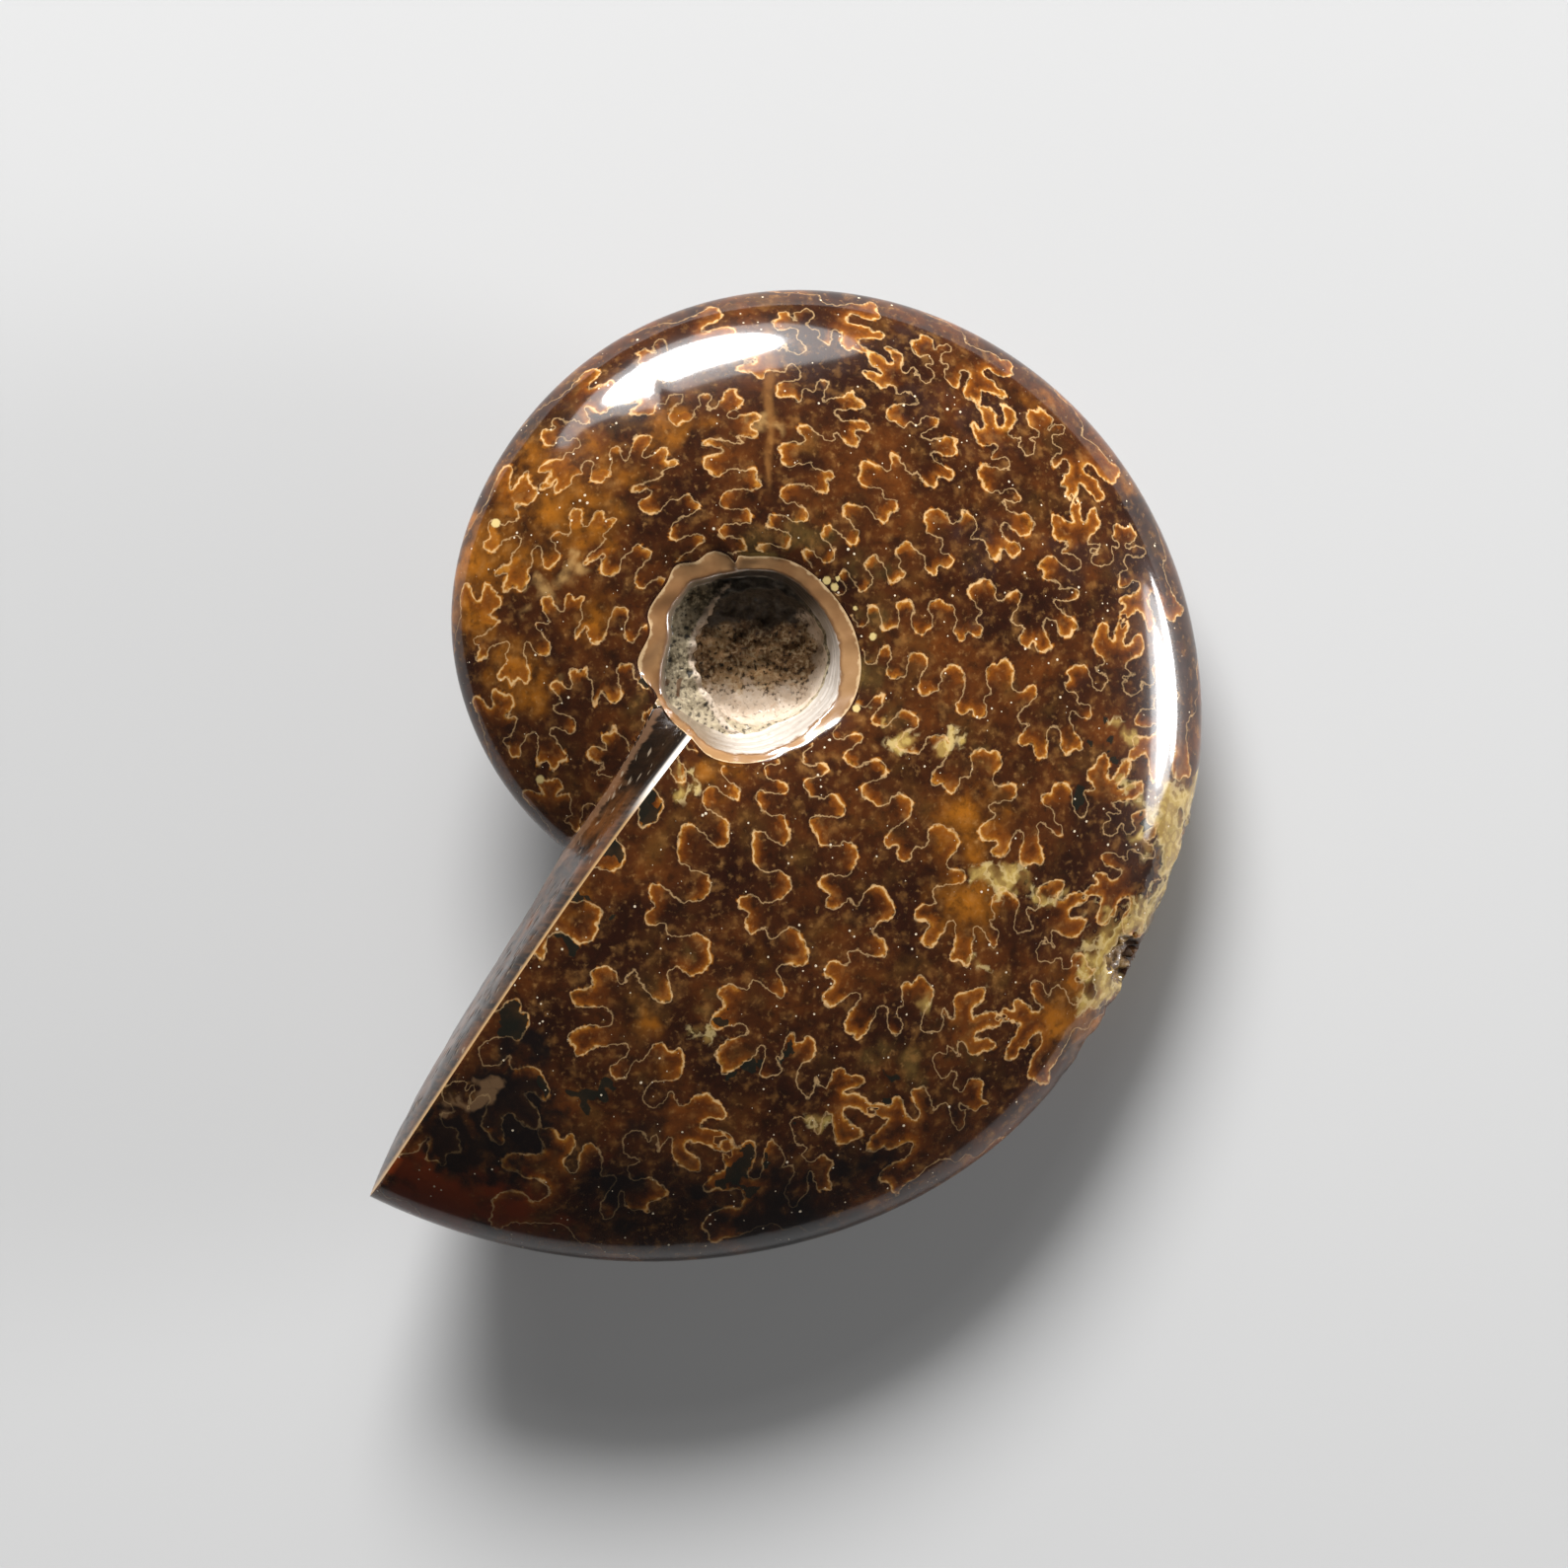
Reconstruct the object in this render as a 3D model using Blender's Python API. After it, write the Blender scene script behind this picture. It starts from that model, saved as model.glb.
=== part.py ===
"""A polished ammonite: one solid fossil, lying on its flank.

The shell is wound in a plane. It is lofted from whorl sections that turn about the coil's axis and grow
as they go, and the last section is closed by a rounded face that steps down onto the whorl before it.
Lengths are in millimetres and angles in degrees in the helpers. The finished mesh is in metres, Z up.
"""

import math
import random

import bmesh
import bpy
from mathutils import Matrix, Vector

MM = 0.001

# The coil seen along its axis, at every 30 degrees of growth. It grows clockwise.
OUTLINE_RADII = (16.8, 17.9, 19.2, 20.3, 21.8, 23.4, 25.0, 26.8, 28.7, 30.7, 34.6, 37.8, 41.1)
OUTLINE_STEP = 30.0
WHORL_TURN = 360.0
APERTURE_ANGLE = 225.8     # where the last whorl ends, at the umbilicus
APERTURE_SWEEP = 4.6       # how far the end leans forwards for each e-fold of radius

# A whorl's section: half its thickness, and how that falls from the shoulder to the narrow outer edge.
START_HALF_THICKNESS = 4.4
END_HALF_THICKNESS = 9.2
FLANK_POWER = 2.1
FLANK_FALL = 0.64
SHOULDER_WIDTH = 0.14      # share of the flank, from the umbilicus
SHOULDER_DROP = 0.08       # how far the shoulder is rounded off, as a share of the half thickness

# The end face of the last whorl bulges a little, and sweeps out at its foot onto the whorl before.
FACE_BULGE = 0.75
FACE_FOOT = 0.7
FACE_FOOT_AT_UMBILICUS = 2.4
FACE_RINGS = (0.012, 0.04, 0.09, 0.17, 0.30, 0.46, 0.63, 0.80, 0.93)
FOOT_BLEND = 60.0          # growth over which the sections in front of the foot straighten up

# The umbilicus on the upper side: a collar of cut shell, a ledge of stone on the left, and a deep bowl.
COLLAR_OUTER = 6.55
COLLAR_OFFSET = (-0.15, 0.12)
COLLAR_WIDTH = 1.25
COLLAR_WIDTH_BELOW = 0.45  # where the last whorl's wall stands highest
COLLAR_DROP = 0.35
WALL_RUN = 0.35            # how far the wall slopes in, from the collar down to the ledge
WALL_RUN_BELOW = 1.7
COLLAR_SCALLOP = 0.30
SCALLOPS_PER_TURN = 9
LEDGE_HEIGHT = 2.7         # above the middle plane of the shell
BOWL_RADIUS = 4.15
BOWL_OFFSET = (0.8, 0.5)
BOWL_FLOOR = 0.0
BOWL_POWER = 3.0          # 2 would make the bowl's section an ellipse, and more is squarer

# The umbilicus on the lower side still holds its stone, as a shallow dish.
DISH_DEPTH = 1.6

# How the shell lies: the coil's axis leans to the right, and a small flat is worn where it rests.
REST_LEAN = 6.5
REST_LEAN_TOWARDS = -4.0
COIL_CENTRE = (-2.20, 7.22)
REST_FLAT_DEPTH = 0.2

# The chip out of the upper half of the outer edge, lower right.
CHIP_ANGLE = -38.5
CHIP_RADIUS = 31.6
CHIP_SIZE = (3.0, 2.0, 3.0)
CHIP_HEIGHT = 2.6
CHIP_ROUGHNESS = 0.16
CHIP_SEED = 5

SECTION_STEP = 6.0
FLANK_POINTS = 17
BOWL_POINTS = 6
LEDGE_POINTS = 3


def clear_scene():
    for obj in list(bpy.data.objects):
        bpy.data.objects.remove(obj)


def smooth(t):
    """Goes from 0 to 1 with level ends."""
    t = min(max(t, 0.0), 1.0)
    return t * t * (3 - 2 * t)


def outline_radius(growth):
    """The shell's outer radius: a smooth curve through OUTLINE_RADII, in the logarithm of the radius."""
    logs = [math.log(radius) for radius in OUTLINE_RADII]
    logs = [2 * logs[0] - logs[1], *logs, 2 * logs[-1] - logs[-2]]
    place = min(growth / OUTLINE_STEP, len(OUTLINE_RADII) - 1.001)
    k = int(place)
    t = place - k
    before, here, after, beyond = logs[k:k + 4]
    curve = (after - before) * t + (2 * before - 5 * here + 4 * after - beyond) * t**2
    curve += (3 * here - before - 3 * after + beyond) * t**3
    return math.exp(here + curve / 2)


def half_thickness(growth):
    rate = math.log(END_HALF_THICKNESS / START_HALF_THICKNESS) / WHORL_TURN
    return START_HALF_THICKNESS * math.exp(rate * growth)


def flank_profile(share):
    """Height over the middle plane: 1 at the thickest, and 0 at the outer edge, where share is 1."""
    height = (1 - share**FLANK_POWER) ** FLANK_FALL
    inside = max(0.0, 1 - share / SHOULDER_WIDTH)
    return height * (1 - SHOULDER_DROP * inside**2)


def from_axis_to_circle(angle, radius, offset):
    """Distance from the coil's axis, in one direction, to a circle whose centre lies off that axis."""
    direction = math.radians(angle)
    along = offset[0] * math.cos(direction) + offset[1] * math.sin(direction)
    across = offset[1] * math.cos(direction) - offset[0] * math.sin(direction)
    return along + math.sqrt(radius**2 - across**2)


def scallop(angle):
    """The broken waves in the collar's inner edge, which fade out on the right."""
    left = smooth((math.cos(math.radians(angle - 155)) + 0.2) / 0.7)
    return COLLAR_SCALLOP * left * math.sin(math.radians(SCALLOPS_PER_TURN * angle + 20))


def collar_outer(angle):
    return from_axis_to_circle(angle, COLLAR_OUTER, COLLAR_OFFSET)


def mix_below(angle, elsewhere, below):
    """One value at the lower edge of the umbilicus, under the end of the last whorl, and another elsewhere."""
    share = smooth((math.cos(math.radians(angle + 80)) - 0.2) / 0.6)
    return elsewhere + (below - elsewhere) * share


def collar_inner(angle):
    return collar_outer(angle) - mix_below(angle, COLLAR_WIDTH, COLLAR_WIDTH_BELOW) + scallop(angle)


def aperture_angle(radius):
    return APERTURE_ANGLE + APERTURE_SWEEP * math.log(radius / COLLAR_OUTER)


def flank_section(growth):
    """The upper flank at one growth, from the collar to the outer edge, as (radius, angle, height)."""
    start = collar_outer(APERTURE_ANGLE - growth)
    end = outline_radius(growth)
    section = []
    for k in range(FLANK_POINTS):
        share = math.sin(math.pi / 2 * k / (FLANK_POINTS - 1))
        radius = start + (end - start) * share
        height = half_thickness(growth) * flank_profile(share)
        section.append((radius, aperture_angle(radius) - growth, height))
    return section


def face_lead(radius, part):
    """How far the end face stands in front of its upper edge, in degrees. Its foot is at part 1."""
    bulge = FACE_BULGE * (1 - (1 - min(part / 0.4, 1.0)) ** 2.4)
    inner = math.exp(-max(radius - COLLAR_OUTER, 0.0) / 4)
    foot = FACE_FOOT + (FACE_FOOT_AT_UMBILICUS - FACE_FOOT) * inner
    return math.degrees((bulge + foot * part**3) / radius)


def whorl_section(growth):
    """A flank section. Those just in front of the end face start from its foot."""
    behind = 1 - smooth(growth / FOOT_BLEND)
    return [(r, angle - behind * face_lead(r, 1.0), height) for r, angle, height in flank_section(growth)]


def face_section(part):
    """One ring of the end face, from the edge of the last whorl, at part 0, to its foot, at part 1."""
    section = []
    for last, first in zip(flank_section(WHORL_TURN), flank_section(0.0)):
        radius = last[0] + (first[0] - last[0]) * part
        height = last[2] + (first[2] - last[2]) * part
        angle = aperture_angle(radius) - WHORL_TURN - face_lead(radius, part)
        section.append((radius, angle, height))
    return section


def umbilicus_section(angle, collar_height):
    """The upper umbilicus in one direction: the bowl, the ledge, and the wall up to the collar."""
    bowl = from_axis_to_circle(angle, BOWL_RADIUS, BOWL_OFFSET)
    inner = collar_inner(angle)
    foot = max(inner - mix_below(angle, WALL_RUN, WALL_RUN_BELOW), bowl + 0.15)
    section = []
    for k in range(1, BOWL_POINTS + 1):
        share = math.sin(math.pi / 2 * k / BOWL_POINTS)
        rise = 1 - (1 - share**BOWL_POWER) ** (1 / BOWL_POWER)
        section.append((bowl * share, angle, BOWL_FLOOR + (LEDGE_HEIGHT - BOWL_FLOOR) * rise))
    for k in range(1, LEDGE_POINTS + 1):
        section.append((bowl + (foot - bowl) * k / LEDGE_POINTS, angle, LEDGE_HEIGHT + 0.1 * k))
    section.append((max(inner, foot + 0.1), angle, collar_height - COLLAR_DROP))
    return section


def dish_section(angle, collar_height, count):
    """The lower umbilicus in one direction, as heights below the middle plane."""
    floor = START_HALF_THICKNESS - DISH_DEPTH
    shares = [k / (count + 0.4) for k in range(1, count + 1)]
    return [(collar_outer(angle) * s, angle, floor + (collar_height - floor) * s**4) for s in shares]


def closed_section(flank):
    """A whole section: from the axis over the upper flank, round the outer edge and back underneath."""
    angle, collar_height = flank[0][1:]
    hollow = umbilicus_section(angle, collar_height)
    dish = dish_section(angle, collar_height, len(hollow))
    above = [(r, a, height) for r, a, height in hollow + flank]
    below = [(r, a, -height) for r, a, height in flank[-2::-1] + dish[::-1]]
    return [Vector((r * math.cos(math.radians(a)), r * math.sin(math.radians(a)), z)) for r, a, z in above + below]


def growth_steps():
    """Even steps of growth round the whorl."""
    count = round(WHORL_TURN / SECTION_STEP)
    return [WHORL_TURN * k / count for k in range(count + 1)]


def loft(name, sections, poles):
    """A closed skin through sections that turn all the way round an axis, with a fan at each pole."""
    bm = bmesh.new()
    rings = [[bm.verts.new(point * MM) for point in section] for section in sections]
    top, bottom = (bm.verts.new(point * MM) for point in poles)
    for here, after in zip(rings, rings[1:] + rings[:1]):
        bm.faces.new((top, here[0], after[0]))
        bm.faces.new((bottom, after[-1], here[-1]))
        for k in range(len(here) - 1):
            bm.faces.new((here[k], here[k + 1], after[k + 1], after[k]))
    bmesh.ops.triangulate(bm, faces=bm.faces[:])
    bmesh.ops.recalc_face_normals(bm, faces=bm.faces[:])
    return to_object(name, bm)


def to_object(name, bm):
    mesh = bpy.data.meshes.new(name)
    bm.to_mesh(mesh)
    bm.free()
    return bpy.data.objects.new(name, mesh)


def lean_over(obj):
    """Leans the coil's axis over and puts the coil's centre in its place on the floor plan."""
    direction = math.radians(REST_LEAN_TOWARDS)
    hinge = Vector((-math.sin(direction), math.cos(direction), 0))
    lean = Matrix.Rotation(math.radians(REST_LEAN), 4, hinge)
    obj.data.transform(Matrix.Translation(Vector((*COIL_CENTRE, 0)) * MM) @ lean)


def cut_rest_flat(obj):
    """Cuts a thin cap off the lowest place, and stands the flat that is left on the floor."""
    bm = bmesh.new()
    bm.from_mesh(obj.data)
    level = min(vert.co.z for vert in bm.verts) + REST_FLAT_DEPTH * MM
    everything = bm.verts[:] + bm.edges[:] + bm.faces[:]
    cut = bmesh.ops.bisect_plane(bm, geom=everything, dist=1e-7, plane_co=(0, 0, level),
                                 plane_no=(0, 0, 1), clear_inner=True)
    edges = [part for part in cut["geom_cut"] if isinstance(part, bmesh.types.BMEdge)]
    flats = bmesh.ops.holes_fill(bm, edges=edges)["faces"]
    bmesh.ops.triangulate(bm, faces=flats)
    bmesh.ops.translate(bm, verts=bm.verts, vec=(0, 0, -level))
    bmesh.ops.recalc_face_normals(bm, faces=bm.faces[:])
    bm.to_mesh(obj.data)
    bm.free()


def make_chip_cutter():
    """A rough lump, as large as the splinter that broke out of the edge."""
    rng = random.Random(CHIP_SEED)
    bm = bmesh.new()
    bmesh.ops.create_icosphere(bm, subdivisions=2, radius=MM)
    for vert in bm.verts:
        vert.co *= 1 + rng.uniform(-CHIP_ROUGHNESS, CHIP_ROUGHNESS)
    direction = math.radians(CHIP_ANGLE)
    bmesh.ops.scale(bm, verts=bm.verts, vec=CHIP_SIZE)
    turn = Matrix.Rotation(direction, 4, "Z")
    place = Vector((CHIP_RADIUS * math.cos(direction), CHIP_RADIUS * math.sin(direction), CHIP_HEIGHT))
    bmesh.ops.transform(bm, verts=bm.verts, matrix=Matrix.Translation(place * MM) @ turn)
    return to_object("chip_cutter", bm)


def cut_chip(shell, cutter):
    cut = shell.modifiers.new("chip", "BOOLEAN")
    cut.operation = "DIFFERENCE"
    cut.solver = "EXACT"
    cut.object = cutter
    cutter.hide_render = True
    cutter.display_type = "WIRE"


def calcite_material():
    """Polished brown calcite."""
    material = bpy.data.materials.new("polished_calcite")
    material.use_nodes = True
    shader = material.node_tree.nodes["Principled BSDF"]
    shader.inputs["Base Color"].default_value = (0.20, 0.075, 0.02, 1)
    shader.inputs["Roughness"].default_value = 0.12
    shader.inputs["Metallic"].default_value = 0.0
    return material


def make_collection(name):
    collection = bpy.data.collections.new(name)
    bpy.context.scene.collection.children.link(collection)
    return collection


def main():
    clear_scene()
    flanks = [whorl_section(growth) for growth in growth_steps()] + [face_section(p) for p in FACE_RINGS]
    poles = (Vector((0, 0, BOWL_FLOOR)), Vector((0, 0, DISH_DEPTH - START_HALF_THICKNESS)))
    shell = loft("ammonite", [closed_section(flank) for flank in flanks], poles)
    cutter = make_chip_cutter()
    make_collection("polished_ammonite").objects.link(shell)
    make_collection("cutters").objects.link(cutter)
    shell.data.materials.append(calcite_material())
    lean_over(shell)
    lean_over(cutter)
    bottom = min(vert.co.z for vert in shell.data.vertices) + REST_FLAT_DEPTH * MM
    cutter.data.transform(Matrix.Translation((0, 0, -bottom)))
    cut_rest_flat(shell)
    cut_chip(shell, cutter)
    shell.data.shade_smooth()


main()
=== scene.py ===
# %% [markdown]
# # A polished ammonite
# The real piece is a fossil shell, six centimetres across. Its outer layer was ground off and polished.
# So the calcite that fills its chambers shows, and the folded walls between them run over the flanks as
# pale lines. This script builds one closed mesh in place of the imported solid, paints it by rules, and
# lights it.

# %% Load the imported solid
import math
from functools import partial

import bmesh
import bpy
import numpy as np
from mathutils import Matrix, Vector
from mathutils.kdtree import KDTree


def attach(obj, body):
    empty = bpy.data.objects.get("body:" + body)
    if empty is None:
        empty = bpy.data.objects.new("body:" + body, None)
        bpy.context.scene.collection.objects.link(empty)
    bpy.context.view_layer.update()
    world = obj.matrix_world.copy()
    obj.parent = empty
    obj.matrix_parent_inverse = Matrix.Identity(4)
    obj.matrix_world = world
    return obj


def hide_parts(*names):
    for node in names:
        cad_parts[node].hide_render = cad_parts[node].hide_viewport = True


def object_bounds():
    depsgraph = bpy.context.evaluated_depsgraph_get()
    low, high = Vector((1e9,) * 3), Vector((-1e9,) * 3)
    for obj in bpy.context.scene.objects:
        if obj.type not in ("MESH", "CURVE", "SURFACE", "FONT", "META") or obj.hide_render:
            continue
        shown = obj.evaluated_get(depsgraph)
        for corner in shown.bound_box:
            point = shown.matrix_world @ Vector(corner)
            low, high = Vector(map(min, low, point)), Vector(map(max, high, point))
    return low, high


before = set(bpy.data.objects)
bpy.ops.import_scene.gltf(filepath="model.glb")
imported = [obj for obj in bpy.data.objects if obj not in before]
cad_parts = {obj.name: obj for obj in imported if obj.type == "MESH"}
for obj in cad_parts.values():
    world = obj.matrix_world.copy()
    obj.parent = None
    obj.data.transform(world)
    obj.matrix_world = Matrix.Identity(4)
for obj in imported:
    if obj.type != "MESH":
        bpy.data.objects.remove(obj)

MM = 0.001
cad_box = [list(corner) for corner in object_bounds()]
print("packed solid, mm:", [[round(value / MM, 2) for value in corner] for corner in cad_box])

# %% [markdown]
# ## Camera
# The photograph looks straight down on the shell, from about 28 cm. A 100 mm lens there sees a square of
# 98 mm at half the shell's height. A camera that isn't turned looks down, with the photograph's top along
# +Y.

# %% Camera
PHOTO_WIDTH = 97.7            # mm that the photograph shows, at MIDDLE_HEIGHT
MIDDLE_HEIGHT = 9.0
LENS = 100.0                  # focal length, mm
SENSOR = 36.0
CAMERA_OVER = (-0.38, -0.56)  # the place that the camera stands over, mm
NEAREST_SEEN = 10.0           # mm from the camera


def link(obj):
    """Puts a new object into the scene."""
    bpy.context.scene.collection.objects.link(obj)
    return obj


camera = link(bpy.data.objects.new("camera", bpy.data.cameras.new("camera")))
camera.data.lens = LENS
camera.data.sensor_width = SENSOR
camera_height = MIDDLE_HEIGHT + PHOTO_WIDTH * LENS / SENSOR
camera.location = Vector((*CAMERA_OVER, camera_height)) * MM
camera.data.clip_start = NEAREST_SEEN * MM
bpy.context.scene.camera = camera
print("camera height, mm:", round(camera_height, 1))

# %% [markdown]
# ## Floor and light
# A pale sheet of paper is the floor. A polished thing mirrors its lights, so they are placed by the
# highlights in the photograph. An oval soft box beyond the top of the picture gives the white patch at
# the upper left, and a larger and dimmer one round it gives that patch its soft edge. Narrow ones low on
# the right give the long streak there, and another dim one softens it. Nothing bright hangs overhead,
# where the flank would mirror it.

# %% Sizes of the floor and the lights
FLOOR_SIZE = 6.0              # m
FLOOR_GREY = 0.46
FLOOR_ROUGHNESS = 0.9
WORLD_GREY = 0.07
# Soft boxes: name, place and target in mm, width and height in mm, and power in watts.
LIGHTS = (
    ("back_box", (-160, 740, 460), (-4, 18, 12), (510, 250), 16.5),
    ("back_glow", (-140, 780, 480), (-4, 18, 12), (920, 440), 5.0),
    ("side_strip", (760, 26, 150), (20, 4, 12), (270, 90), 3.8),
    ("side_glow", (780, 26, 150), (20, 4, 12), (440, 200), 1.9),
    ("low_strip", (760, 90, 60), (20, 4, 8), (320, 60), 2.4),
)


def add_light(name, place, target, size, power):
    """Adds an oval soft box that faces its target."""
    data = bpy.data.lights.new(name, "AREA")
    data.shape = "ELLIPSE"
    data.size, data.size_y = (side * MM for side in size)
    data.energy = power
    light = link(bpy.data.objects.new(name, data))
    light.location = Vector(place) * MM
    light.rotation_euler = (Vector(target) - Vector(place)).to_track_quat("-Z", "Y").to_euler()


# %% The floor
bm = bmesh.new()
bmesh.ops.create_grid(bm, x_segments=1, y_segments=1, size=FLOOR_SIZE / 2)
floor_mesh = bpy.data.meshes.new("floor")
bm.to_mesh(floor_mesh)
bm.free()
floor = link(bpy.data.objects.new("floor", floor_mesh))
paper = bpy.data.materials.new("pale_paper")
paper.use_nodes = True
paper_shader = paper.node_tree.nodes["Principled BSDF"]
paper_shader.inputs["Base Color"].default_value = (FLOOR_GREY,) * 3 + (1,)
paper_shader.inputs["Roughness"].default_value = FLOOR_ROUGHNESS
floor_mesh.materials.append(paper)
print("floor:", floor.name, FLOOR_SIZE, "m wide")

# %% The lights
world = bpy.data.worlds.new("studio")
world.use_nodes = True
world.node_tree.nodes["Background"].inputs["Color"].default_value = (WORLD_GREY,) * 3 + (1,)
bpy.context.scene.world = world
for light in LIGHTS:
    add_light(*light)
bpy.context.scene.view_settings.view_transform = "Standard"
print("lights:", ", ".join(name for name, *_ in LIGHTS))

# %% [markdown]
# ## The shell's form
# An ammonite's shell grows by a steady rule: each section is the last one, turned a little and made
# larger. So the form is written as functions of two numbers. One, across, goes round the coil with growth
# and then over the end face. The other, down, goes along a section, from the bottom of the umbilicus up
# over the collar, across the upper flank, round the outer edge and back underneath. The same rules and
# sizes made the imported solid. There the collar is a scalloped ring, and here its two edges follow the
# broken ones in the photograph.

# %% Sizes of the shell, in mm and degrees
OUTLINE_RADII = (16.8, 17.9, 19.2, 20.3, 21.8, 23.4, 25.0, 26.8, 28.7, 30.7, 34.6, 37.8, 41.1)
OUTLINE_STEP = 30.0          # of growth, between two of OUTLINE_RADII
WHORL_TURN = 360.0
APERTURE_ANGLE = 225.8       # where the last whorl ends, at the umbilicus
APERTURE_SWEEP = 4.6         # how far the end leans forwards for each e-fold of radius
START_HALF_THICKNESS = 4.4
END_HALF_THICKNESS = 9.2
FLANK_POWER = 2.1
FLANK_FALL = 0.64
SHOULDER_WIDTH = 0.14        # share of the flank, from the umbilicus
SHOULDER_DROP = 0.08         # share of the half thickness
FACE_BULGE = 0.75
FACE_BULGE_END = 0.4         # share of the way down the end face
FACE_BULGE_POWER = 2.4
FACE_FOOT = 0.7
FACE_FOOT_AT_UMBILICUS = 2.4
FACE_FOOT_REACH = 4.0
FOOT_BLEND = 60.0            # growth over which the sections in front of the foot straighten up
SWEEP_RADIUS = 6.55          # where the end face stands at APERTURE_ANGLE
COLLAR_DROP = 0.35
# The collar's two edges, as (degrees round the coil's axis, mm from it). The outer one is wavy on the left,
# where it broke, and has a notch at the top.
COLLAR_OUTER_EDGE = (
    (13, 5.73), (44, 5.7), (75, 6.15), (97, 6.25), (104, 6.45), (107, 6.05), (110, 6.75), (116, 7.28),
    (125, 7.22), (133, 7.8), (143, 7.49), (158, 7.59), (168, 7.13), (187, 7.7), (207, 7.39), (224, 6.89),
    (240, 7.05), (262, 6.5), (283, 5.85), (307, 5.7), (328, 5.95), (353, 5.89),
)
COLLAR_INNER_EDGE = (
    (8, 4.62), (32, 4.63), (53, 4.78), (70, 5.15), (85, 5.34), (108, 5.54), (125, 6.0), (134, 6.4),
    (142, 6.33), (155, 6.35), (168, 5.92), (190, 6.3), (204, 6.55), (219, 6.4), (237, 6.5), (261, 6.0),
    (283, 5.4), (306, 5.0), (332, 4.93), (350, 4.66),
)
WALL_RUN = 0.3               # how far the wall slopes in, from the collar down to the ledge
WALL_RUN_BELOW = 1.2         # the same at the lower edge, under the end of the last whorl
BELOW = -80.0                # the direction of that lower edge
LEDGE_HEIGHT = 2.7
LEDGE_RISE = 0.3
NARROWEST_LEDGE = 0.15
NARROWEST_WALL = 0.1
BOWL_RADIUS = 4.2
BOWL_OFFSET = (-0.05, 0.15)
BOWL_FLOOR = 0.0
BOWL_POWER = 3.0             # 2 would make the bowl's section an ellipse, and more is squarer
DISH_DEPTH = 1.6
DISH_POWER = 4
REST_LEAN = 6.5              # of the coil's axis, as the shell lies
REST_LEAN_TOWARDS = -4.0
COIL_CENTRE = (-2.20, 7.22)

# %% Rules of growth
LINE_STEPS = 14              # places along a smooth line from one drawn point to the next


def smooth(t):
    """Goes from 0 to 1 with level ends."""
    t = np.clip(t, 0.0, 1.0)
    return t * t * (3 - 2 * t)


def between_four(before, here, after, beyond, t):
    """A place on the smooth curve through four values, where t goes from 0 to 1 between the middle two."""
    curve = (after - before) * t + (2 * before - 5 * here + 4 * after - beyond) * t**2
    curve += (3 * here - before - 3 * after + beyond) * t**3
    return here + curve / 2


def rounded(places):
    """A smooth line through some places, as many closely spaced ones."""
    fours = (places[shift:len(places) - 3 + shift, None] for shift in range(4))
    t = (np.arange(LINE_STEPS) / LINE_STEPS)[None, :, None]
    return between_four(*fours, t).reshape(-1, 2)


def outline_radius(growth):
    """The shell's outer radius: a smooth curve through OUTLINE_RADII, in the logarithm of the radius."""
    logs = np.log(OUTLINE_RADII)
    logs = np.concatenate([[2 * logs[0] - logs[1]], logs, [2 * logs[-1] - logs[-2]]])
    place = np.clip(growth / OUTLINE_STEP, 0, len(OUTLINE_RADII) - 1.001)
    k = place.astype(int)
    return np.exp(between_four(*(logs[k + shift] for shift in range(4)), place - k))


def half_thickness(growth):
    """Half the whorl's thickness, which grows by the same factor in every degree."""
    rate = math.log(END_HALF_THICKNESS / START_HALF_THICKNESS) / WHORL_TURN
    return START_HALF_THICKNESS * np.exp(rate * growth)


def flank_profile(share):
    """Height over the middle plane: 1 at the thickest, and 0 at the outer edge, where share is 1."""
    share = np.clip(share, 0.0, 1.0)
    height = (1 - share**FLANK_POWER) ** FLANK_FALL
    inside = np.maximum(0.0, 1 - share / SHOULDER_WIDTH)
    return height * (1 - SHOULDER_DROP * inside**2)


def aperture_angle(radius):
    """The direction in which the end face's upper edge lies, at each distance from the axis."""
    return APERTURE_ANGLE + APERTURE_SWEEP * np.log(np.maximum(radius, 0.1) / SWEEP_RADIUS)


print("radius at the whorl's two ends, mm:", outline_radius(np.array([0, WHORL_TURN])).round(1))


# %% Rules of the umbilicus and of the end face
def from_axis_to_circle(angle, radius, offset):
    """Distance from the coil's axis, in one direction, to a circle whose centre lies off that axis."""
    direction = np.radians(angle)
    along = offset[0] * np.cos(direction) + offset[1] * np.sin(direction)
    across = offset[1] * np.cos(direction) - offset[0] * np.sin(direction)
    return along + np.sqrt(radius**2 - across**2)


def ring_edge(angle, edge):
    """Distance from the axis to one of the collar's edges: a smooth curve through its points."""
    ahead, behind = ([(turn + side, radius) for turn, radius in edge] for side in (360, -360))
    curve = rounded(np.array([*behind[-3:], *edge, *ahead[:3]], float))
    return np.interp(angle % 360, *curve.T)


def wall_run(angle):
    """How far the umbilical wall slopes in. It is more under the end of the last whorl."""
    share = smooth((np.cos(np.radians(angle - BELOW)) - 0.2) / 0.6)
    return WALL_RUN + (WALL_RUN_BELOW - WALL_RUN) * share


def face_lead(radius, part):
    """How far the end face stands in front of its upper edge, in degrees. Its foot is at part 1."""
    bulge = FACE_BULGE * (1 - (1 - np.minimum(part / FACE_BULGE_END, 1.0)) ** FACE_BULGE_POWER)
    inner = np.exp(-np.maximum(radius - SWEEP_RADIUS, 0.0) / FACE_FOOT_REACH)
    foot = FACE_FOOT + (FACE_FOOT_AT_UMBILICUS - FACE_FOOT) * inner
    return np.degrees((bulge + foot * part**3) / radius)


print("foot of the end face, degrees ahead:", face_lead(SWEEP_RADIUS, 1.0).round(1))

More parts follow.
